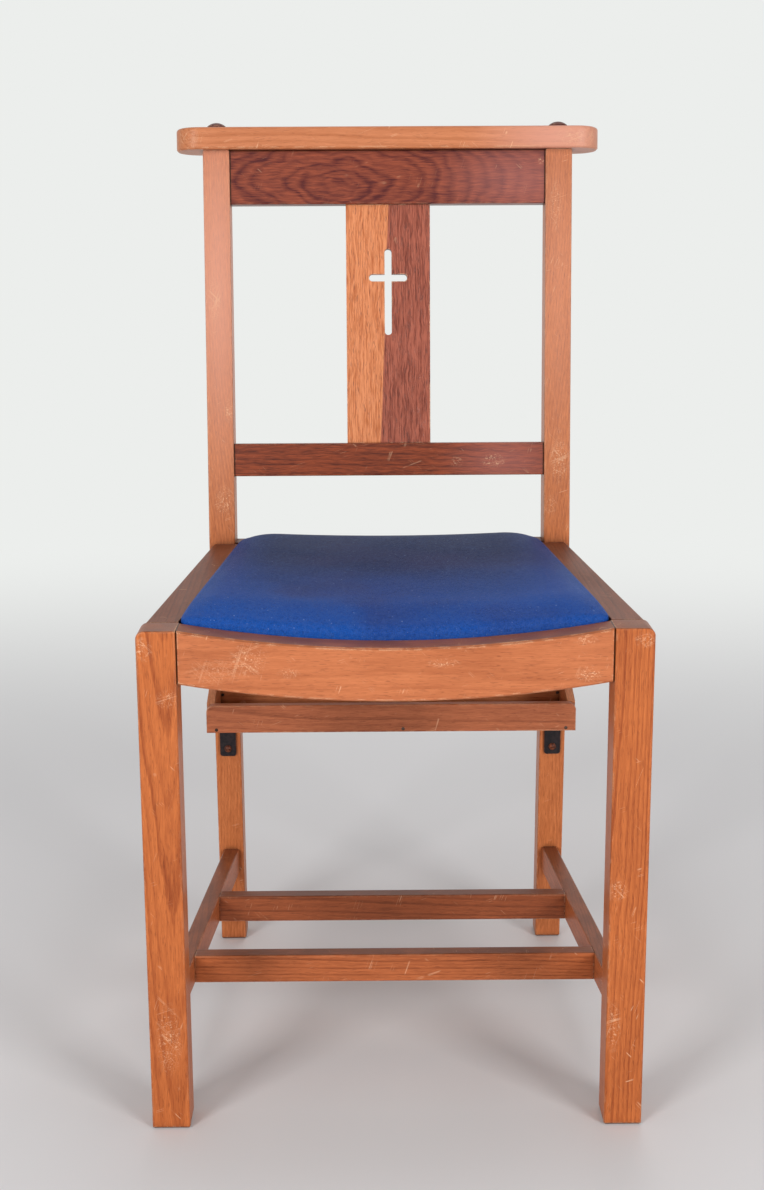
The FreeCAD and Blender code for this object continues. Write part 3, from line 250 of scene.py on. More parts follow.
def disc(radius, rings=24, around=96):
    """A flat round floor: a point is (r cos a, r sin a, 0), with a turning once round."""
    r, a = np.meshgrid(radius * np.linspace(0, 1, rings + 1)[1:], np.arange(around), indexing="ij")
    a = a * 2 * np.pi / around
    points = np.stack([r * np.cos(a), r * np.sin(a), 0 * r], axis=-1).reshape(-1, 3)
    i, j = np.meshgrid(np.arange(rings - 1), np.arange(around), indexing="ij")
    here, beside = i * around + j, i * around + (j + 1) % around
    quads = np.stack([here, here + around, beside + around, beside], axis=-1).reshape(-1, 4)
    edge = np.arange(around)
    hub = np.stack([np.full(around, len(points)), edge, (edge + 1) % around], axis=-1)
    points = np.vstack([points, [0, 0, 0]])
    return points, quads.tolist() + hub.tolist()


def mesh_object(name, points, faces):
    """A smooth mesh object at the origin, from arrays of points and lists of faces."""
    mesh = bpy.data.meshes.new(name)
    mesh.from_pydata(points.tolist(), [], faces)
    mesh.polygons.foreach_set("use_smooth", [True] * len(mesh.polygons))
    mesh.update()
    made = bpy.data.objects.new(name, mesh)
    bpy.context.scene.collection.objects.link(made)
    return made


floor = mesh_object("floor", *disc(FLOOR_RADIUS))
print("floor radius", FLOOR_RADIUS, "m,", len(floor.data.polygons), "faces")

# %% [markdown]
# ## The floor's colour
#
# Near the chair's feet the floor takes its shadow. Further out it fades into the
# sky's own colour, for the camera and for reflections only, so no horizon shows and
# no light on the chair changes. A Light Path node says which ray is asking.

# %% Colour the floor
FADE_FROM, FADE_TO = 0.7, 2.6

ground = Finish("pale_floor")
rays = ground.node("ShaderNodeLightPath")
seen = ground.maths("MAXIMUM", rays.outputs["Is Camera Ray"], rays.outputs["Is Glossy Ray"])
far = ground.times(ground.rise(ground.length(ground.place), FADE_FROM, FADE_TO), seen)
matt = ground.node("ShaderNodeBsdfDiffuse", {"Color": colour(226, 225, 226)})
glow = ground.node("ShaderNodeEmission", {"Color": PALE, "Strength": 1.0})
both = ground.node("ShaderNodeMixShader", {0: far, 1: matt.outputs[0], 2: glow.outputs[0]})
ground.node("ShaderNodeOutputMaterial", {0: both.outputs[0]})
floor.data.materials.append(ground.material)
print("the floor fades from", FADE_FROM, "to", FADE_TO, "m")

# %% [markdown]
# ## The sky
#
# The same trick serves the sky: rays that look see the pale backdrop, and rays that
# light the chair find a weak white glow, so the backdrop's brightness can be chosen
# without changing the shadows.

# %% Set the sky
AMBIENT = 0.30

bpy.context.scene.world = bpy.data.worlds.new("even_sky")
sky = Recipe(bpy.context.scene.world)
rays = sky.node("ShaderNodeLightPath")
shown = sky.maths("MAXIMUM", rays.outputs["Is Camera Ray"], rays.outputs["Is Glossy Ray"])
ambient = sky.node("ShaderNodeBackground", {0: (1.0, 1.0, 1.0, 1.0), 1: AMBIENT})
backdrop = sky.node("ShaderNodeBackground", {0: PALE, 1: 1.0})
choice = sky.node("ShaderNodeMixShader", {0: shown, 1: ambient.outputs[0], 2: backdrop.outputs[0]})
sky.node("ShaderNodeOutputWorld", {0: choice.outputs[0]})
bpy.context.scene.view_settings.view_transform = "Standard"
print("sky nodes:", len(sky.tree.nodes))

# %% [markdown]
# ## The lamps
#
# Two faint shadows in the photograph, one each side, tell of two broad lamps at
# the front left and front right, hung not much higher than the chair: its upright
# faces are bright and its level tops are dark. A large lamp gives a soft-edged
# shadow. A weak one overhead fills the tops, and one behind lights the chair's
# back for anyone who walks round it.

# %% Hang four soft lamps
def softbox(name, place, aim, size, power):
    """A square lamp at place, turned so that its own -Z looks at aim."""
    lamp = bpy.data.lights.new(name, "AREA")
    lamp.size = size
    lamp.energy = power
    hung = bpy.data.objects.new(name, lamp)
    hung.location = place
    hung.rotation_euler = (Vector(aim) - Vector(place)).to_track_quat("-Z", "Y").to_euler()
    hung.visible_camera = False
    bpy.context.scene.collection.objects.link(hung)
    return hung


MIDDLE = (0.0, 0.0, 0.45)
softbox("lamp_front_left", (-1.7, -2.5, 1.05), MIDDLE, 0.9, 48.0)
softbox("lamp_front_right", (1.8, -2.4, 1.0), MIDDLE, 0.9, 46.0)
softbox("lamp_overhead", (0.0, 0.4, 3.2), MIDDLE, 2.0, 16.0)
behind = softbox("lamp_behind", (0.4, 3.0, 1.6), MIDDLE, 1.6, 26.0)
behind.visible_glossy = False

# %% [markdown]
# ## How wood is drawn
#
# A board is a slice of a trunk. The trunk's rings are tubes round its pith, so the
# pattern on a board's face needs no painting: it is the distance from each point
# to the pith, cut into rings. Where the pith runs close behind a face and leans a
# little, the rings come out as long pointed arches; where it is far to the side
# they come out as straight lines. So every board below gets its own pith, and the
# grain runs along the piece, as a joiner would lay it.
#
# On top of the rings come fine fibres, short dark flecks, slow changes of tone,
# dirt and painted shade in the corners, pale wood on the rubbed edges, hairline
# scratches and, where the photograph shows them, scuffs at a given place.

# %% Which way the grain runs
def axes(along, across):
    """The turn that takes X to the grain and Y to the direction across the face."""
    x = Vector(along).normalized()
    y = Vector(across).normalized()
    return Matrix((x, y, x.cross(y))).transposed().to_euler()


RAKE = np.radians(5.85)
UPRIGHT = axes((0, 0, 1), (1, 0, 0))
RAKED = axes((0, np.sin(RAKE), np.cos(RAKE)), (1, 0, 0))
CROSSWISE = axes((1, 0, 0), (0, 0, 1))
FORE_AND_AFT = axes((0, 1, 0), (0, 0, 1))
FLAT_CROSSWISE = axes((1, 0, 0), (0, 1, 0))


def middle_of(node):
    """The middle of a CAD node's box."""
    low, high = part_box(node)
    return (low + high) / 2


print("middle of the cap:", [round(v, 3) for v in middle_of("cap_rail")])

# %% [markdown]
# ## A board as it left the saw
#
# A place on the board is counted along the grain, across the face and into the
# wood. Slow noise bends the pith's line, so no ring is a true circle. The distance
# to the pith, counted in years, is cut to its fraction: that is the place within
# one year, and every year gets a darkness of its own. Fibres, streaks and flecks
# are noises drawn out along the grain. Their scales are in waves per metre, along
# the grain, across it and into the wood.

# %% Saw a board out of a trunk
FIBRES = (14.0, 520.0, 520.0)
TONE = (9.0, 34.0, 34.0)
STREAKS = (62.0, 920.0, 920.0)
FLECKS = (150.0, 1500.0, 1100.0)
RAGGED = (60.0, 420.0, 420.0)
WAVES = (70.0, 90.0, 90.0)
WAVE_WIDTH = 0.004
RAGGEDNESS = 0.28
LATE_WOOD = ((0.0, 0.05), (0.45, 0.2), (0.82, 1.0), (0.93, 0.8), (1.0, 0.05))
CLOUDY = ((0.0, 0.1), (0.3, 0.35), (0.62, 1.0), (0.85, 0.5), (1.0, 0.1))


class Timber(Finish):
    """A board: its rings, fibres, streaks and flecks, each a number from 0 to 1.

    The pith lies so far across the face and into the wood from the board's middle,
    leans by so much, and drifts; spacing is the width of a year."""

    def __init__(self, node, grain, seed, pith=(0.0, 0.05), lean=(0.0, 0.012), spacing=0.0025, drift=0.006,
                 drift_scale=(4.0, 16.0, 16.0), swirl=0.0, heart=0.0, years=LATE_WOOD):
        super().__init__("wood_of_" + node)
        self.for_node = node
        self.seed = seed
        where = {"Vector": self.place, "Location": middle_of(node), "Rotation": grain}
        self.board = self.node("ShaderNodeMapping", where, vector_type="TEXTURE").outputs[0]
        self.along, across, deep = self.node("ShaderNodeSeparateXYZ", {0: self.board}).outputs
        side = self.pith_line(pith[0], lean[0], drift, drift_scale, seed)
        back = self.pith_line(pith[1], lean[1], drift, drift_scale, seed + 3.1)
        ahead = self.line(self.along, swirl, -heart * swirl)
        spot = {0: ahead, 1: self.maths("ADD", across, side), 2: self.maths("ADD", deep, back)}
        spot = self.node("ShaderNodeCombineXYZ", spot).outputs[0]
        self.rings = self.years_at(spot, spacing, years)
        self.fibres = self.noise(self.stretch(self.board, FIBRES), seed + 5.3, 3.0, 0.6)
        self.tone = self.noise(self.stretch(self.board, TONE), seed + 7.9, 3.0)
        self.streaks = self.noise(self.stretch(self.waved(), STREAKS), seed + 17.0, 2.0, 0.6)
        fine = self.noise(self.stretch(self.board, FLECKS), seed + 9.4, 1.0)
        self.flecks = self.rise(fine, 0.60, 0.70)

    def pith_line(self, offset, lean, drift, drift_scale, seed):
        """How far the pith lies to one side: minus the offset, plus a lean, plus a drift."""
        slow = self.noise(self.stretch(self.board, drift_scale), seed)
        sway = self.line(slow, drift, -drift / 2)
        return self.maths("ADD", self.line(self.along, lean, -offset), sway)

    def years_at(self, spot, spacing, years):
        """Distance over spacing counts the years; the fraction goes through the ramp."""
        far = self.length(spot)
        ragged = self.noise(self.stretch(self.board, RAGGED), self.seed + 1.7, 2.0)
        count = self.line(ragged, RAGGEDNESS, self.maths("DIVIDE", far, spacing))
        year = self.node("ShaderNodeTexWhiteNoise", {"W": self.maths("FLOOR", count)}, noise_dimensions="1D")
        growth = self.ramp(self.maths("FRACT", count), *years)
        return self.times(growth, self.line(year.outputs[0], 0.6, 0.4))

    def waved(self):
        """The board with its fibres swung sideways by up to 4 mm of slow noise."""
        swing = self.noise(self.stretch(self.board, WAVES), self.seed + 15.0, 1.0)
        shift = self.node("ShaderNodeCombineXYZ", {1: self.times(swing, WAVE_WIDTH)}).outputs[0]
        return self.node("ShaderNodeVectorMath", {0: self.board, 1: shift}, operation="ADD").outputs[0]


print("a year is darkest at", LATE_WOOD[2][0], "of its width, a cloudy one at", CLOUDY[2][0])

# %% [markdown]
# ## Light, hands and dust
#
# Then comes use, and painted light. High up on the back a pale pink glare is painted
# on the posts, the cap and the back rails. Level tops are browner and darker: partly
# dust and handling, partly painted shade, as the lamps hang low. Both are blends over
# the board's colour: one by a soft egg shape round a place, the other by how level a
# face is, which its normal tells.

# %% Paint glare on a board, and shade and dust on its top
# The colour of level tops: painted shade, partly dust and handling.
TOP_SHADE_AND_DUST = colour(96, 52, 33)
SMUDGES = (30.0, 50.0, 50.0)


def near(wood, place, size, edge=0.2):
    """1 at a place and 0 beyond a size round it, which may be long one way."""
    where = {"Vector": wood.place, "Location": place, "Scale": size}
    off = wood.node("ShaderNodeMapping", where, vector_type="TEXTURE").outputs[0]
    return wood.rise(wood.length(off), 1.0, edge)


def painted_glare(wood, tint, place, size, paler, amount):
    """A painted highlight: a paler, pinker patch that fades out."""
    share = wood.times(near(wood, place, size, 0.0), amount)
    return wood.blend(share, tint, paler)


def shade_and_dust_on_tops(wood, tint, amount):
    """Level tops blended to brown, in smudges: partly dust, partly painted shade."""
    normal = wood.node("ShaderNodeNewGeometry").outputs["Normal"]
    height = wood.node("ShaderNodeSeparateXYZ", {0: normal}).outputs[2]
    smudge = wood.noise(wood.stretch(wood.board, SMUDGES), wood.seed + 19.0, 3.0)
    smudge = wood.line(wood.rise(smudge, 0.3, 0.6), 0.4, 0.6)
    level = wood.times(wood.rise(height, 0.45, 0.9), smudge)
    return wood.blend(wood.times(level, amount), tint, TOP_SHADE_AND_DUST)


print("handled wood as linear light:", [round(v, 3) for v in TOP_SHADE_AND_DUST[:3]])

# %% [markdown]
# ## Rubbed edges, scratches and scuffs
#
# Where varnish is gone, the bare wood is paler and duller, so all three marks are
# one number: how bare the wood is. An edge is found with the Bevel node, which
# rounds the normal near an edge: where the rounded normal leaves the true one, the
# wood sticks out and rubs. A scratch is noise drawn out fifty times along one way.
# The Mapping node has to turn the place before it stretches it, or every scratch
# would follow the grain, and that is what its kind TEXTURE does.

# %% Wear a board bare
RUB_WIDTH = 0.0022
CHIPS = (90.0, 240.0, 240.0)
RUBBED_STRETCHES = (16.0, 30.0, 30.0)
SCRATCHED_PATCHES = (60.0, 70.0, 70.0)
GRIT = (520.0, 520.0, 620.0)
SCRATCH_STRETCH = (0.20, 0.004, 0.020)
SCRATCH_WAYS = ((0.35, 21.0), (-0.75, 23.0), (1.25, 27.0))


def rubbed_edges(wood, wear):
    """How far an edge is rubbed: where the eased normal leaves the true one, patchily."""
    even = wood.evenness(RUB_WIDTH)
    chips = wood.noise(wood.stretch(wood.board, CHIPS), wood.seed + 11.0, 3.0, 0.65)
    stretches = wood.noise(wood.stretch(wood.board, RUBBED_STRETCHES), wood.seed + 13.0, 1.0)
    patchy = wood.rise(wood.line(stretches, 0.5, chips), 0.72, 0.82)
    return wood.times(wood.times(wood.rise(even, 0.985, 0.86), patchy), wear)


def scratched(wood, bare, places, amount):
    """Thin lines where drawn-out noise passes its middle value, in three ways, each
    kept to a few short patches and to the scuffed places."""
    worn = 0.0
    for place, size, _ in places:
        worn = wood.maths("MAXIMUM", worn, near(wood, place, size, 0.5))
    worn = wood.times(worn, 0.55)
    for turn, seed in SCRATCH_WAYS:
        values = {"Vector": wood.board, "Rotation": (0.0, 0.0, turn), "Scale": SCRATCH_STRETCH}
        vector = wood.node("ShaderNodeMapping", values, vector_type="TEXTURE").outputs[0]
        away = wood.maths("ADD", wood.noise(vector, wood.seed + seed, 0.0), -0.5)
        line = wood.rise(wood.maths("ABSOLUTE", away), 0.013, 0.003)
        short = wood.noise(wood.stretch(wood.board, SCRATCHED_PATCHES), wood.seed + seed + 4.0, 1.0)
        where = wood.maths("MAXIMUM", wood.rise(short, 0.63, 0.71), worn)
        share = wood.times(wood.times(line, where), amount)
        bare = wood.maths("MAXIMUM", bare, share)
    return bare


def scuffed(wood, tint, bare, places, rubbed):
    """Pale scuffs at given places: a soft spot, broken into specks by fine noise."""
    for number, (place, size, amount) in enumerate(places):
        grit = wood.stretch(wood.place, GRIT)
        grit = wood.rise(wood.noise(grit, wood.seed + 31.0 + number, 4.0, 0.75), 0.545, 0.615)
        share = wood.times(wood.times(near(wood, place, size), grit), amount * 0.95)
        tint = wood.blend(share, tint, rubbed)
        bare = wood.maths("MAXIMUM", bare, share)
    return tint, bare


print("ways that scratches run:", [round(turn, 2) for turn, _ in SCRATCH_WAYS])

# %% [markdown]
# ## From bare board to finished piece
#
# One call dresses a piece: the colour of the wood first, then painted glare, the
# tops' painted shade and dust, and wear, in the order in which they came, and last
# dirt and painted shade in every corner, where ambient occlusion finds the corners.
# A seam is the thin dark line where a rail's shoulder meets its leg. The relief is
# about a tenth of a millimetre deep: varnish sinks into the pores.

# %% Dress a board
RUBBED = colour(232, 186, 148)
PORE_SHARE = (0.32, 0.24, 0.2, 1.0)
# Corners and seams are blended to this colour: painted shade in the corners, with dirt, and the dark seam
# lines.
SHADE_AND_DIRT = colour(46, 22, 15)
SHEEN = 0.25
NOOK = 0.009
RELIEF = 0.00014


def wood_depth(wood, rings, tone, streaks):
    """How dark the wood is: 0.3, the rings, and tone, fibres and streaks about their middles."""
    depth = wood.line(wood.tone, tone, -tone / 2)
    depth = wood.line(wood.rings, rings, depth)
    depth = wood.maths("ADD", depth, wood.line(wood.fibres, 0.6, -0.3))
    depth = wood.maths("ADD", depth, wood.line(wood.streaks, streaks, -streaks / 2))
    return wood.maths("ADD", depth, 0.3, clamp=True)


def corner_shade_and_dirt_on(wood, corner_shade_and_dirt, seam):
    """Painted shade and soiling in the corners, and a dark line where the board's end meets its neighbour."""
    # Ambient occlusion darkens the corners: painted shade, with some dirt.
    nook = wood.node("ShaderNodeAmbientOcclusion", {"Distance": NOOK}, samples=6).outputs["AO"]
    shade_and_dirt = wood.times(wood.rise(nook, 0.85, 0.25), corner_shade_and_dirt)
    if seam is not None:
        end = wood.rise(wood.maths("ABSOLUTE", wood.along), seam - 0.0016, seam - 0.0006)
        shade_and_dirt = wood.maths("MAXIMUM", shade_and_dirt, wood.times(end, 0.92))
    return shade_and_dirt


def dress(wood, light, dark, rings=0.5, flecks=0.4, tone=0.6, streaks=1.1, wear=0.6, gloss=0.38, corner_shade_and_dirt=0.75,
          scratches=0.4, tops=0.0, seam=None, places=(), glare_patch=None, finish=None):
    """Colour from rings, tone and fibres; then flecks, age, painted glare, and painted shade with soiling;
    then relief and gloss.
    """
    depth = wood_depth(wood, rings, tone, streaks)
    tint = wood.blend(depth, light, dark) if finish is None else finish(wood, depth)
    pores = wood.times(wood.flecks, flecks)
    tint = wood.blend(pores, tint, wood.blend(1.0, tint, PORE_SHARE, "MULTIPLY"))
    if glare_patch is not None:
        tint = painted_glare(wood, tint, *glare_patch)
    if tops:
        tint = shade_and_dust_on_tops(wood, tint, tops)
    bare = scratched(wood, rubbed_edges(wood, wear), places, scratches)
    tint = wood.blend(bare, tint, RUBBED)
    tint, bare = scuffed(wood, tint, bare, places, RUBBED)
    tint = wood.blend(corner_shade_and_dirt_on(wood, corner_shade_and_dirt, seam), tint, SHADE_AND_DIRT)
    height = wood.line(wood.flecks, -0.7, wood.times(wood.rings, -0.35))
    height = wood.line(wood.streaks, -0.8, height)
    height = wood.line(wood.fibres, 0.5, height)
    rough = wood.line(wood.tone, 0.2, gloss - 0.1)
    rough = wood.line(bare, 0.18, rough)
    values = {"Base Color": tint, "Roughness": rough, "Specular IOR Level": SHEEN}
    wood.surface(values, height, depth=RELIEF, strength=0.5, soften=0.0012)
    wear_finish(wood.for_node, wood)


print("relief", round(RELIEF * 1000, 2), "mm deep; dirt gathers within", round(NOOK * 1000), "mm of a corner")

# %% [markdown]
# ## Front legs
#
# Two square legs of reddish orange hardwood. Their fronts show long pointed
# arches, so the pith runs 3 cm behind the leg's middle and leans by a degree or so.
# The arrises are rubbed pale in patches, where shoes, knees and hands pass.

# %% Varnish the front legs
WARM = colour(200, 112, 58)
WARM_DARK = colour(140, 64, 27)
FACE = -0.2337

leg_scuffs = {
    "left": (
        ((-0.209, FACE, 0.434), (0.010, 0.01, 0.012), 0.8),
        ((-0.190, FACE, 0.392), (0.012, 0.01, 0.010), 0.6),
        ((-0.198, FACE, 0.085), (0.014, 0.01, 0.040), 0.75),
    ),
    "right": (
        ((0.190, FACE, 0.220), (0.010, 0.01, 0.012), 0.8),
        ((0.188, FACE, 0.095), (0.008, 0.01, 0.030), 0.7),
        ((0.207, FACE, 0.440), (0.012, 0.01, 0.008), 0.7),
    ),
}
for side, seed, pith in (("left", 2.0, (0.006, 0.03)), ("right", 9.0, (-0.03, 0.03))):
    leg = Timber("front_leg_" + side, UPRIGHT, seed, pith, lean=(0.004, 0.026), spacing=0.0024, drift=0.010)
    dress(leg, WARM, WARM_DARK, rings=0.6, wear=0.9, tops=0.7, scratches=0.55, places=leg_scuffs[side])
print("front legs:", middle_of("front_leg_left")[:], middle_of("front_leg_right")[:])

# %% [markdown]
# ## Rear legs
#
# Each rear leg and back post is one plank, bent in its outline where the seat
# meets it. The grain follows the long axis. Up in the lamps' glare the posts look
# pinker and paler than the legs below, so that glare is painted on them as a
# pinker, paler patch.

# %% Varnish the rear legs
POST = colour(200, 119, 70)
POST_DARK = colour(148, 76, 38)
# Painted highlight: the lamps' glare, pinker and paler, high on the posts.
POST_GLARE_PINK = colour(226, 166, 146)
POST_GLARE_AMOUNT = {"left": 0.58, "right": 0.26}

post_scuffs = {
    "left": (
        ((-0.165, 0.163, 0.588), (0.006, 0.02, 0.016), 0.75),
        ((-0.171, 0.153, 0.494), (0.013, 0.02, 0.020), 0.75),
        ((-0.178, 0.174, 0.700), (0.008, 0.02, 0.030), 0.4),
    ),
    "right": (
        ((0.171, 0.184, 0.793), (0.008, 0.02, 0.030), 0.5),
        ((0.176, 0.158, 0.535), (0.012, 0.02, 0.030), 0.75),
        ((0.168, 0.153, 0.489), (0.008, 0.02, 0.012), 0.6),
    ),
}

for side, seed, pith in (("left", 14.0, (0.05, 0.02)), ("right", 17.0, (-0.045, 0.03))):
    x = middle_of("rear_leg_" + side).x
    leg = Timber("rear_leg_" + side, UPRIGHT, seed, pith=pith, lean=(0.002, 0.03))
    post_glare = ((x, 0.17, 0.72), (0.05, 0.10, 0.30), POST_GLARE_PINK, POST_GLARE_AMOUNT[side])
    dress(leg, POST, POST_DARK, rings=0.35, flecks=0.35, streaks=1.5, wear=0.9, scratches=0.6,
          places=post_scuffs[side], glare_patch=post_glare)
print("rear legs:", middle_of("rear_leg_left")[:])

# %% [markdown]
# ## Seat rails
#
# The rails tie the legs together at seat height. The front one is sawn to a sag
# that follows the seat, and its left third carries most of its pale, crackled scuffs.

# %% Varnish the seat rails
RAIL = colour(202, 121, 77)
RAIL_DARK = colour(150, 77, 41)
# Darker colours for the side and rear rails than for the front one: painted shade.
SHADED_RAIL = colour(158, 88, 56)
SHADED_RAIL_DARK = colour(94, 47, 29)
RAIL_SEAM = 0.182

rail_scuffs = (
    ((-0.122, FACE, 0.425), (0.020, 0.01, 0.018), 0.8),
    ((-0.089, FACE, 0.413), (0.012, 0.01, 0.006), 0.7),
    ((-0.150, FACE, 0.415), (0.030, 0.01, 0.014), 0.4),
    ((0.040, FACE, 0.421), (0.016, 0.01, 0.005), 0.8),
    ((0.160, FACE, 0.411), (0.014, 0.01, 0.009), 1.0),
    ((0.157, FACE, 0.440), (0.012, 0.01, 0.006), 0.8),
)
rail = Timber("front_seat_rail", CROSSWISE, 23.0, (0.01, 0.09), (0.01, 0.01), spacing=0.0036, drift=0.014)
dress(rail, RAIL, RAIL_DARK, rings=0.34, streaks=0.8, tone=0.8, wear=0.9, tops=0.75, seam=RAIL_SEAM,
      scratches=0.45, places=rail_scuffs)
for side, seed in (("left", 27.0), ("right", 31.0)):
    rail = Timber("side_seat_rail_" + side, FORE_AND_AFT, seed, pith=(0.06, 0.02))
    dress(rail, SHADED_RAIL, SHADED_RAIL_DARK, tone=0.9, gloss=0.45, tops=0.5)
rail = Timber("rear_seat_rail", CROSSWISE, 35.0, pith=(0.02, 0.07))
dress(rail, SHADED_RAIL, SHADED_RAIL_DARK, gloss=0.42, tops=0.5)
print("front rail:", middle_of("front_seat_rail")[:])

# %% [markdown]
# ## Stretchers
#
# Four thin bars join the legs low down. They are a little browner than the legs,
# and their tops are browner still: dust where shoes rest, and painted shade.

# %% Varnish the stretchers
LOW = colour(190, 106, 62)
LOW_DARK = colour(128, 64, 32)
# Darker colours for the rear stretcher: painted shade under the seat.
SHADED_LOW = colour(158, 86, 52)
SHADED_LOW_DARK = colour(104, 52, 30)

bars = (
    ("front_cross_stretcher", CROSSWISE, 41.0, (0.03, 0.04), LOW, LOW_DARK),
    ("rear_cross_stretcher", CROSSWISE, 43.0, (0.02, 0.05), SHADED_LOW, SHADED_LOW_DARK),
    ("side_stretcher_left", FORE_AND_AFT, 45.0, (0.04, 0.01), LOW, LOW_DARK),
    ("side_stretcher_right", FORE_AND_AFT, 47.0, (0.03, 0.02), LOW, LOW_DARK),
)
for node, grain, seed, pith, light, dark in bars:
    bar = Timber(node, grain, seed, pith=pith, lean=(0.012, 0.004))
    dress(bar, light, dark, tops=0.7, wear=0.7)
print("stretchers:", len(bars))

# %% [markdown]
# ## The back
#
# The two rails of the back are of a darker, redder wood than the posts. The upper
# one was cut close to the pith's side, so its rings close into a cloudy oval left
# of the middle: swirl counts the grain's own direction into the distance, and
# heart says where along the board the oval sits. Both rails have a pale glare
# painted on their right ends.

# %% Varnish the rails of the back
DARK = colour(152, 76, 52)
DARKEST = colour(80, 26, 26)
LOWER = colour(144, 67, 38)
LOWER_DARK = colour(84, 33, 19)
GLARE = colour(204, 138, 132)
BACK_SEAM = 0.1605

upper_scuffs = (((0.156, 0.188, 0.837), (0.006, 0.02, 0.004), 0.9),)
lower_scuffs = (
    ((0.108, 0.157, 0.535), (0.016, 0.02, 0.009), 1.0),
    ((0.070, 0.157, 0.534), (0.008, 0.02, 0.008), 0.6),
)
upper_glare = ((0.135, 0.188, 0.820), (0.11, 0.06, 0.06), GLARE, 0.26)
lower_glare = ((0.120, 0.157, 0.535), (0.08, 0.06, 0.05), GLARE, 0.26)

rail = Timber("upper_back_rail", CROSSWISE, 53.0, pith=(-0.004, 0.018), lean=(0.0, 0.0), spacing=0.0068,
              drift=0.046, drift_scale=(20.0, 34.0, 20.0), swirl=0.42, heart=-0.052, years=CLOUDY)
dress(rail, DARK, DARKEST, rings=0.62, flecks=0.3, tone=0.8, streaks=2.0, wear=0.5, gloss=0.33,
      scratches=0.22, seam=BACK_SEAM, glare_patch=upper_glare, places=upper_scuffs)
rail = Timber("lower_back_rail", CROSSWISE, 57.0, pith=(0.03, 0.05), lean=(0.01, 0.006), spacing=0.003)
dress(rail, LOWER, LOWER_DARK, rings=0.5, tone=0.7, streaks=2.8, wear=0.6, gloss=0.35,
      scratches=0.3, seam=BACK_SEAM, glare_patch=lower_glare, places=lower_scuffs)
print("rails of the back:", middle_of("upper_back_rail")[:], middle_of("lower_back_rail")[:])

# %% [markdown]
# ## The splat
#
# The splat came from a board with a natural border in it: pale orange sapwood on
# the left, dark heartwood on the right, and the border drifts to the left going
# down. Two colour pairs are blended at that line, which the tone noise makes waver.

# %% Varnish the splat
SAP = colour(222, 142, 96)
SAP_DARK = colour(176, 94, 50)
HEART = colour(170, 94, 73)
HEART_DARK = colour(104, 44, 31)


def sap_and_heart(board, depth):
    """Two woods in one board, either side of a border that is a line x = a + b z."""
    x, y, z = board.node("ShaderNodeSeparateXYZ", {0: board.place}).outputs
    border = board.line(z, 0.038, -0.0296)
    border = board.maths("ADD", border, board.line(board.tone, 0.004, -0.002))
    over = board.rise(board.maths("SUBTRACT", x, border), -0.0006, 0.0012)
    return board.blend(over, board.blend(depth, SAP, SAP_DARK), board.blend(depth, HEART, HEART_DARK))


splat = Timber("back_splat", RAKED, 61.0, pith=(0.09, 0.03), lean=(0.01, 0.006), spacing=0.0022)
dress(splat, SAP, SAP_DARK, rings=0.3, flecks=0.7, tone=0.4, streaks=3.4, wear=0.8, gloss=0.36,
      scratches=0.2, finish=sap_and_heart)
print("splat:", middle_of("back_splat")[:])

# %% [markdown]
# ## The cap and its buttons
#
# The cap rail is one of the palest pieces, scratched where hands lift the chair,
# with a pale pink highlight painted on its right end. Two small domed buttons
# cover its screws.

# %% Varnish the cap and the buttons
CAP = colour(211, 136, 94)
CAP_DARK = colour(166, 92, 52)
CAP_GLARE_PINK = colour(222, 162, 146)
BUTTON = colour(112, 52, 38)
BUTTON_DARK = colour(62, 26, 20)

cap = Timber("cap_rail", CROSSWISE, 67.0, pith=(0.03, 0.07), lean=(0.006, 0.01), spacing=0.0034, drift=0.009)
cap_scuffs = (
    ((0.190, 0.190, 0.860), (0.030, 0.02, 0.014), 0.7),
    ((-0.198, 0.190, 0.860), (0.022, 0.02, 0.012), 0.4),
)
# Painted highlight: a pale pink glare on the cap's right end.
cap_glare = ((0.175, 0.190, 0.862), (0.11, 0.06, 0.05), CAP_GLARE_PINK, 0.6)
dress(cap, CAP, CAP_DARK, rings=0.34, flecks=0.3, tone=0.6, streaks=0.6, wear=0.9, gloss=0.36,
      scratches=0.7, places=cap_scuffs, glare_patch=cap_glare)
for side, seed in (("left", 71.0), ("right", 73.0)):
    button = Timber("cap_button_" + side, UPRIGHT, seed, pith=(0.004, 0.006), spacing=0.0015)
    dress(button, BUTTON, BUTTON_DARK, rings=0.5, flecks=0.3, wear=0.5, gloss=0.34, scratches=0.1)
print("cap:", middle_of("cap_rail")[:])

# %% [markdown]
# ## The book tray
#
# A shallow box under the rear of the seat, of the same wood as the legs. Its lip
# is what shows from the front, in the seat's shade. Its inside boards are painted
# lighter: painted light, where little lamp light reaches under the seat.

# %% Varnish the tray
TRAY = colour(182, 106, 70)
TRAY_DARK = colour(118, 60, 36)
# Painted light: the inside boards are lighter than the lip.
LIT_INSIDE = colour(206, 132, 88)
LIT_INSIDE_DARK = colour(150, 86, 52)

boards = (
    ("tray_lip", CROSSWISE, 79.0, TRAY, TRAY_DARK),
    ("tray_back", CROSSWISE, 81.0, LIT_INSIDE, LIT_INSIDE_DARK),
    ("tray_floor", FLAT_CROSSWISE, 83.0, LIT_INSIDE, LIT_INSIDE_DARK),
    ("tray_side_left", FORE_AND_AFT, 87.0, LIT_INSIDE, LIT_INSIDE_DARK),
    ("tray_side_right", FORE_AND_AFT, 89.0, LIT_INSIDE, LIT_INSIDE_DARK),
)
for node, grain, seed, light, dark in boards:
    board = Timber(node, grain, seed, pith=(0.02, 0.06), lean=(0.006, 0.012), spacing=0.003)
    dress(board, light, dark, rings=0.42, tone=0.5, gloss=0.42)
print("tray:", [round(v, 3) for v in middle_of("tray_floor")])

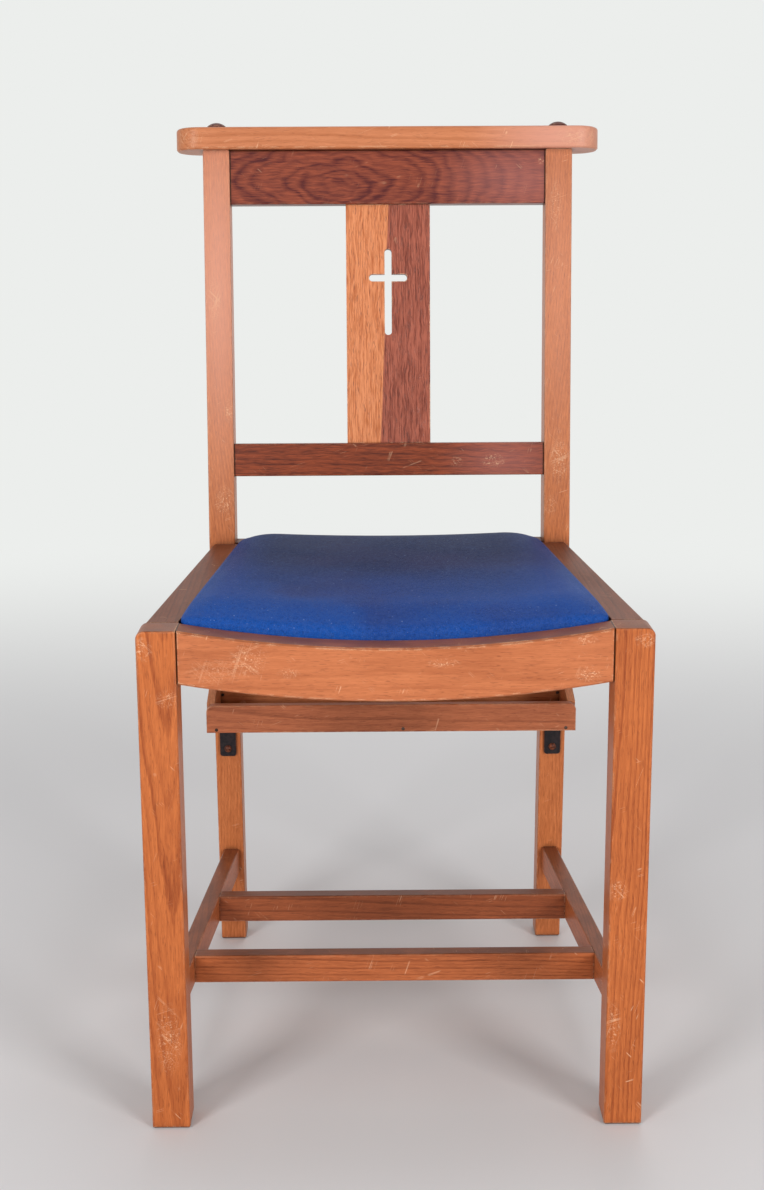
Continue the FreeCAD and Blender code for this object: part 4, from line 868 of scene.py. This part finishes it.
# %% [markdown]
# ## Wood that nobody varnished
#
# The battens that carry the loose seat and the blocks in the corners are bare
# beech: paler, drier and duller. The board under the pad is plywood, faced with a
# thin sheet of birch that was peeled off a log. A peeled sheet lies almost along
# the rings, so the pith goes far to one side and the years come out wide.

# %% Bare beech and plywood
RAW = colour(206, 164, 118)
RAW_DARK = colour(160, 112, 72)
BIRCH = colour(216, 184, 138)
BIRCH_DARK = colour(178, 138, 94)

beech = (
    ("corner_block_front_left", CROSSWISE, 91.0),
    ("corner_block_front_right", CROSSWISE, 93.0),
    ("corner_block_rear_left", CROSSWISE, 95.0),
    ("corner_block_rear_right", CROSSWISE, 97.0),
    ("seat_batten_left", FORE_AND_AFT, 101.0),
    ("seat_batten_right", FORE_AND_AFT, 103.0),
)
for node, grain, seed in beech:
    bare = Timber(node, grain, seed, pith=(0.03, 0.05))
    dress(bare, RAW, RAW_DARK, rings=0.35, flecks=0.3, wear=0.2, gloss=0.62, corner_shade_and_dirt=0.5, scratches=0.2)

plies = Timber("seat_board", FORE_AND_AFT, 107.0, (-0.4, 0.05), (0.02, 0.02), spacing=0.012, drift=0.06)
dress(plies, BIRCH, BIRCH_DARK, rings=0.4, flecks=0.15, wear=0.2, gloss=0.6, corner_shade_and_dirt=0.4, scratches=0.1)
print("unvarnished pieces:", len(beech) + 1)

# %% [markdown]
# ## Steel
#
# Two black enamelled angles hold the tray. Their enamel is chipped to brown at the
# edges. The screws have gone a rusty red brown, the nails are dull, and the
# staples under the seat are bright zinc.

# %% Enamel, rust and zinc
CHIP_WIDTH = 0.0008
RUST_PATCHES = (240.0, 240.0, 240.0)
FINE_GRAIN = (900.0, 900.0, 900.0)


def metal(name, light, dark, metallic, gloss, worn=None, members=()):
    """Two tones in patches, a fine roughness, and worn edges if there are any."""
    steel = Finish(name)
    patches = steel.noise(steel.stretch(steel.place, RUST_PATCHES), 3.0, 3.0, 0.6)
    tint = steel.blend(steel.rise(patches, 0.42, 0.62), light, dark)
    fine = steel.noise(steel.stretch(steel.place, FINE_GRAIN), 5.0, 2.0)
    if worn is not None:
        even = steel.evenness(CHIP_WIDTH)
        edge = steel.times(steel.rise(even, 0.98, 0.85), steel.rise(patches, 0.40, 0.60))
        tint = steel.blend(edge, tint, worn)
    rough = steel.line(fine, 0.25, gloss - 0.12)
    values = {"Base Color": tint, "Roughness": rough, "Metallic": metallic, "Specular IOR Level": SHEEN}
    steel.surface(values, fine, depth=0.00005, strength=0.4, soften=0.0003)
    for node in members:
        wear_finish(node, steel)


SCREWS = ("bracket_leg_screws", "bracket_tray_screws", "cap_screws", "batten_screws", "corner_block_screws")
ANGLES = ("tray_bracket_left", "tray_bracket_right")
BLACK, BLACK_LIGHT, CHIPPED = colour(22, 18, 22), colour(38, 30, 32), colour(104, 74, 60)
RUST, RUST_DARK = colour(120, 66, 44), colour(70, 40, 32)
DULL, DULL_DARK = colour(92, 76, 68), colour(52, 40, 36)
ZINC, ZINC_DARK = colour(190, 190, 188), colour(150, 148, 142)

metal("black_enamel", BLACK, BLACK_LIGHT, 0.0, 0.5, worn=CHIPPED, members=ANGLES)
metal("rusty_screw", RUST, RUST_DARK, 0.35, 0.55, members=SCREWS)
metal("dull_nail", DULL, DULL_DARK, 0.6, 0.5, members=("tray_nails",))
metal("zinc_staple", ZINC, ZINC_DARK, 1.0, 0.36, members=("cover_staples",))
print("nodes of enamel or rusty steel:", len(ANGLES) + len(SCREWS))

# %% [markdown]
# ## The shape of the pad
#
# The loose seat is a dished board with foam on it and blue vinyl drawn over both
# and stapled underneath. It could be a block with rounded edges, but vinyl pulled
# over foam does not look like that: it is crowned, it turns over the edge in a
# soft roll, and its sides pull in between the corners.
#
# So the pad is one sheet over a height that a formula gives. Its foot is the sag of
# the rails, and on that sits a crown that rolls down to all four edges.

# %% Work out the pad's height
SEAT_FRONT, SEAT_REAR = -0.2036945, 0.1568055
SEAT_TOP = 0.450
FRONT_DISH, REAR_DISH = 0.016, 0.004
CROWN, EDGE_CROWN = 0.0205, 0.0015
FRONT_ROLL, SIDE_ROLL, REAR_ROLL = 0.056, 0.042, 0.044
HALF_FRONT, NARROWS_FROM = 0.1815, -0.2006945
NARROWS_BY, NARROWS_OVER = 0.027, 0.350


def half_width(y):
    """Half the pad's width at y, which shrinks by 27 mm over 350 mm of depth."""
    return HALF_FRONT - NARROWS_BY * (y - NARROWS_FROM) / NARROWS_OVER


def dished(x, y):
    """The line of the rails' tops: a sag in x that is deepest in front."""
    along = np.clip((y - SEAT_FRONT) / (SEAT_REAR - SEAT_FRONT), 0, 1)
    deep = FRONT_DISH + (REAR_DISH - FRONT_DISH) * along
    return SEAT_TOP - deep * (1 - (x / half_width(y)) ** 2)


def roll(inset, width):
    """A quarter of an ellipse: upright at the edge, level once it is width inside."""
    t = np.clip(inset / width, 0, 1)
    return np.sqrt(1 - (1 - t) ** 2)


def crowned(x, y):
    """The pad's top: the dish, plus a crown that rolls down to every edge."""
    side = np.maximum(half_width(y) - np.abs(x), 0)
    share = roll(y - SEAT_FRONT, FRONT_ROLL) * roll(side, SIDE_ROLL) * roll(SEAT_REAR - y, REAR_ROLL)
    return dished(x, y) + EDGE_CROWN + (CROWN - EDGE_CROWN) * share


print("crown in the middle:", round(float(crowned(0.0, 0.0)), 4), "m")

# %% [markdown]
# ## The pad's outline
#
# From above the pad is nearly a trapezium: it narrows to the back, its corners are
# eased, and the pull of the vinyl draws each side in a little between them. The
# unit square's border is carried onto that shape.

# %% Work out the pad's outline
CORNER = 0.007
DRAWN_IN = 0.0009


def outline(a, b):
    """A point of the unit square's border taken to the pad's own, with eased corners.

    Front to back b goes straight over; across, a is a share of the half width.
    Near a corner both are pulled in by a quarter circle of 7 mm, and between the
    corners each side is drawn in by up to 0.9 mm."""
    y = (SEAT_FRONT + SEAT_REAR) / 2 + b * (SEAT_REAR - SEAT_FRONT) / 2
    reach = half_width(y)
    x = a * reach
    pull_x = DRAWN_IN * (1 - b**2) * (np.abs(a) > 0.999)
    pull_y = DRAWN_IN * (1 - a**2) * (np.abs(b) > 0.999)
    from_side = reach - np.abs(x)
    from_end = (SEAT_REAR - SEAT_FRONT) / 2 * (1 - np.abs(b))
    u = np.clip(1 - from_side / CORNER, 0, 1)
    v = np.clip(1 - from_end / CORNER, 0, 1)
    length = np.maximum(np.hypot(u, v), 1e-9)
    square = np.maximum(np.maximum(u, v), 1e-9)
    corner = CORNER * (1 - square / length) * np.where((u > 0) & (v > 0), 1, 0)
    x = x - np.sign(a) * (corner * u + pull_x)
    y = y - np.sign(b) * (corner * v + pull_y)
    return x, y


print("rear right corner at", [round(float(v), 4) for v in outline(np.array(1.0), np.array(1.0))])

# %% [markdown]
# ## The pad's sheet
#
# Take a square of points and let its rings shrink from the border to the middle.
# The inner rings become the top. The outer rings turn over the edge, go down the
# side and fold under the board, where the sheet ends and the staples hold it.

# %% Work out the pad's sheet
STEPS = 104
TOP_SHARE = 0.80
SPREAD = 0.9
PROFILE_SHARE = (0.0, 0.12, 0.26, 0.40, 0.48, 0.54, 0.62, 1.0)
PROFILE_INSET = (0.0, 0.0004, 0.0010, 0.0009, 0.0007, 0.0016, 0.0034, 0.0220)
PROFILE_DROP = (0.0, 0.0040, 0.0095, 0.0142, 0.0164, 0.0173, 0.0177, 0.0178)
TURN_UNDER = 0.5
LEAST_REACH = 0.05


def pad_sheet(steps):
    """The whole sheet as a grid of points.

    ring is how far a point of the square is from its middle, counted as a square
    ring. Up to TOP_SHARE it is the outline shrunk by the sine of its share, and its
    height is the crown. Beyond, it follows a profile of inset and drop from the edge:
    down the side with a slight hollow, round the lower edge and in under the board."""
    line = np.linspace(-1, 1, steps + 1)
    a, b = np.meshgrid(line, line, indexing="ij")
    ring = np.maximum(np.maximum(np.abs(a), np.abs(b)), 1e-9)
    edge_x, edge_y = outline(a / ring, b / ring)
    centre_y = (SEAT_FRONT + SEAT_REAR) / 2
    inner = np.minimum(ring / TOP_SHARE, 1)
    inner = np.sin(inner * np.pi / 2) ** SPREAD
    x, y = edge_x * inner, centre_y + (edge_y - centre_y) * inner
    z = crowned(x, y)
    q = np.clip((ring - TOP_SHARE) / (1 - TOP_SHARE), 0, 1)
    inset = np.interp(q, PROFILE_SHARE, PROFILE_INSET)
    drop = np.interp(q, PROFILE_SHARE, PROFILE_DROP)
    shrink_x = 1 - inset / np.maximum(np.abs(edge_x), LEAST_REACH)
    shrink_y = 1 - inset / np.maximum(np.abs(edge_y - centre_y), LEAST_REACH)
    beyond = ring > TOP_SHARE
    x = np.where(beyond, edge_x * shrink_x, x)
    y = np.where(beyond, centre_y + (edge_y - centre_y) * shrink_y, y)
    low = dished(edge_x, edge_y) + EDGE_CROWN - drop
    z = np.where(beyond, np.where(q > TURN_UNDER, dished(x, y) + EDGE_CROWN - drop, low), z)
    points = np.stack([x, y, z], axis=-1).reshape(-1, 3)
    i, j = np.meshgrid(np.arange(steps), np.arange(steps), indexing="ij")
    first = i * (steps + 1) + j
    quads = np.stack([first, first + steps + 1, first + steps + 2, first + 1], axis=-1)
    return points, quads.reshape(-1, 4), ring.ravel()


points, quads, rings_of_pad = pad_sheet(STEPS)
cushion = mesh_object("seat_cushion", points, quads.tolist())
print("pad sheet:", len(points), "points;", points.min(0).round(4), "to", points.max(0).round(4))

# %% [markdown]
# ## Let the vinyl settle
#
# A computed surface is too even. Blender's cloth can stretch the sheet as an
# upholsterer does: the hem is pinned, the sheet is a little too small, and the
# foam pushes from below, here as a gentle pressure. A few steps are enough. No
# point is let further than 2.2 mm from where it was, so the pad still fits.

# %% Stretch the vinyl over the foam
LARGEST_MOVE = 0.0022
GRIP_FROM = 0.70


def settle(obj, rings, steps=18, pressure=3.0):
    """Cloth for a few frames with the sides pinned, read back as plain points."""
    hold = obj.vertex_groups.new(name="hem")
    grip = np.clip((rings / TOP_SHARE - GRIP_FROM) / (1 - GRIP_FROM), 0, 1)
    for number, share in enumerate(grip.tolist()):
        hold.add([number], share, "REPLACE")
    cloth = obj.modifiers.new("cloth", "CLOTH")
    cloth.settings.quality = 6
    cloth.settings.mass = 0.35
    cloth.settings.tension_stiffness = 18
    cloth.settings.shear_stiffness = 10
    cloth.settings.bending_stiffness = 2.0
    cloth.settings.vertex_group_mass = "hem"
    cloth.settings.shrink_min = 0.01
    cloth.settings.use_pressure = True
    cloth.settings.uniform_pressure_force = pressure
    cloth.settings.effector_weights.gravity = 0.0
    cloth.collision_settings.use_collision = False
    scene = bpy.context.scene
    for frame_number in range(1, steps + 1):
        scene.frame_set(frame_number)
    graph = bpy.context.evaluated_depsgraph_get()
    moved = np.zeros(len(rings) * 3, np.float32)
    obj.evaluated_get(graph).data.vertices.foreach_get("co", moved)
    scene.frame_set(1)
    obj.modifiers.remove(cloth)
    obj.vertex_groups.remove(hold)
    return moved.reshape(-1, 3).astype(float)


moved = settle(cushion, rings_of_pad)
move = moved - points
length = np.linalg.norm(move, axis=1, keepdims=True)
eased = LARGEST_MOVE * np.tanh(length / LARGEST_MOVE) / np.maximum(length, 1e-9)
points = points + move * eased
cushion.data.vertices.foreach_set("co", points.astype(np.float32).ravel())
cushion.data.update()
print("vinyl moved by up to", round(float(length.max() * 1000), 2), "mm before the cap")

# %% [markdown]
# ## The thickness of the vinyl
#
# The sheet has no thickness yet. Solidify grows it inwards to the millimetre
# that vinyl on its cloth back has, which closes it, and one level of subdivision
# smooths it. The CAD program's own cover and foam are then hidden, and the cushion
# moves with the loose seat.

# %% Give the vinyl its thickness
VINYL = 0.0011

shell = cushion.modifiers.new("vinyl_thickness", "SOLIDIFY")
shell.thickness = VINYL
shell.offset = -1.0
smooth = cushion.modifiers.new("smooth", "SUBSURF")
smooth.levels = 1
smooth.render_levels = 1

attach(cushion, "loose_seat")
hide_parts("seat_cover", "seat_foam")
print("pad: vinyl", round(VINYL * 1000, 2), "mm thick")

# %% [markdown]
# ## Blue vinyl
#
# Upholsterer's vinyl is a soft plastic sheet, pressed with a leather-like grain.
# The grain is the borders of small cells, painted darker in their creases as painted
# shade. The colour is a strong blue, with painted light on the front roll and the
# sides, and greyer, as painted shade, and a little purple towards the back. Mottled
# dust lies over all of it, with single painted glints as pale specks.

# %% Colour the vinyl
LIT_BLUE = colour(20, 80, 168)
SHADED_GREY_BLUE = colour(20, 38, 82)
PURPLE_BLUE = colour(44, 42, 88)
DUSTY_BLUE = colour(84, 114, 172)
CREASE_SHADE_BLUE = colour(14, 24, 56)
GLINT_PALE = colour(150, 170, 205)
CELLS_PER_METRE = 620.0
CLOUDS = (11.0, 14.0, 8.0)
PURPLE_PATCHES = (7.0, 9.0, 5.0)
DUST = (280.0, 280.0, 280.0)
GLINT_SPECKS = (420.0, 420.0, 420.0)
WRINKLES = (60.0, 60.0, 60.0)

vinyl = Finish("blue_vinyl_cloth")
x, y, z = vinyl.node("ShaderNodeSeparateXYZ", {0: vinyl.place}).outputs
cloudy = vinyl.noise(vinyl.stretch(vinyl.place, CLOUDS), 2.0, 3.0, 0.55)
# Painted light and shade: lit blue at the front, shaded grey blue towards the back.
depth = vinyl.line(cloudy, 0.10, vinyl.maths("ADD", y, -0.05))
back = vinyl.rise(depth, -0.215, 0.03)
tint = vinyl.blend(back, LIT_BLUE, SHADED_GREY_BLUE)
patch = vinyl.rise(vinyl.noise(vinyl.stretch(vinyl.place, PURPLE_PATCHES), 6.0, 2.0), 0.46, 0.64)
tint = vinyl.blend(vinyl.times(patch, 0.45), tint, PURPLE_BLUE)
# Painted light: bluer towards the sides.
edge = vinyl.rise(vinyl.maths("ABSOLUTE", x), 0.105, 0.175)
tint = vinyl.blend(vinyl.times(edge, 0.5), tint, LIT_BLUE)
cells = {"Vector": vinyl.place, "Scale": CELLS_PER_METRE}
cells = vinyl.node("ShaderNodeTexVoronoi", cells, feature="DISTANCE_TO_EDGE").outputs[0]
# Painted shade: darker blue in the grain's creases.
crease = vinyl.rise(cells, 0.16, 0.0)
tint = vinyl.blend(vinyl.times(crease, 0.45), tint, CREASE_SHADE_BLUE)
mottle = vinyl.rise(vinyl.noise(vinyl.stretch(vinyl.place, DUST), 14.0, 3.0, 0.7), 0.40, 0.64)
tint = vinyl.blend(vinyl.times(mottle, 0.15), tint, DUSTY_BLUE)
# Painted glints: pale specks over the grain.
glint_speck = vinyl.rise(vinyl.noise(vinyl.stretch(vinyl.place, GLINT_SPECKS), 12.0, 1.0), 0.70, 0.76)
tint = vinyl.blend(vinyl.times(glint_speck, 0.45), tint, GLINT_PALE)
wrinkle = vinyl.noise(vinyl.stretch(vinyl.place, WRINKLES), 8.0, 3.0)
height = vinyl.line(crease, -1.0, vinyl.times(wrinkle, 1.6))
rough = vinyl.line(cloudy, 0.16, 0.44)
values = {"Base Color": tint, "Roughness": rough, "Specular IOR Level": 0.10}
vinyl.surface(values, height, depth=0.00024, strength=0.7, soften=0.0002)
cushion.data.materials.append(vinyl.material)

print("vinyl cells about", round(1000 / CELLS_PER_METRE, 1), "mm across")

# %% [markdown]
# ## What the cushion hides
#
# The CAD cover and foam stay out of sight under the cushion. They still get their
# own finishes, vinyl and yellow foam, so that no piece is left without one.

# %% Colour the hidden cover and foam
FOAM, FOAM_PORE = colour(214, 190, 120), colour(170, 140, 80)

foam = Finish("yellow_foam")
pores = foam.noise(foam.stretch(foam.place, (700.0,) * 3), 1.0, 2.0)
foam.surface({"Base Color": foam.blend(pores, FOAM, FOAM_PORE), "Roughness": 0.9}, pores, depth=0.0004)
wear_finish("seat_foam", foam)
wear_finish("seat_cover", vinyl)
print("the hidden foam and cover wear", foam.material.name, "and", vinyl.material.name)

# %% [markdown]

# %% [markdown]
# ## Finish
#
# The last call prints how many CAD nodes there are. The cloth modifier was taken
# off when the vinyl settled.

# %% Count the CAD nodes
print("CAD nodes:", len(nodes), "of which the cushion stands for two")
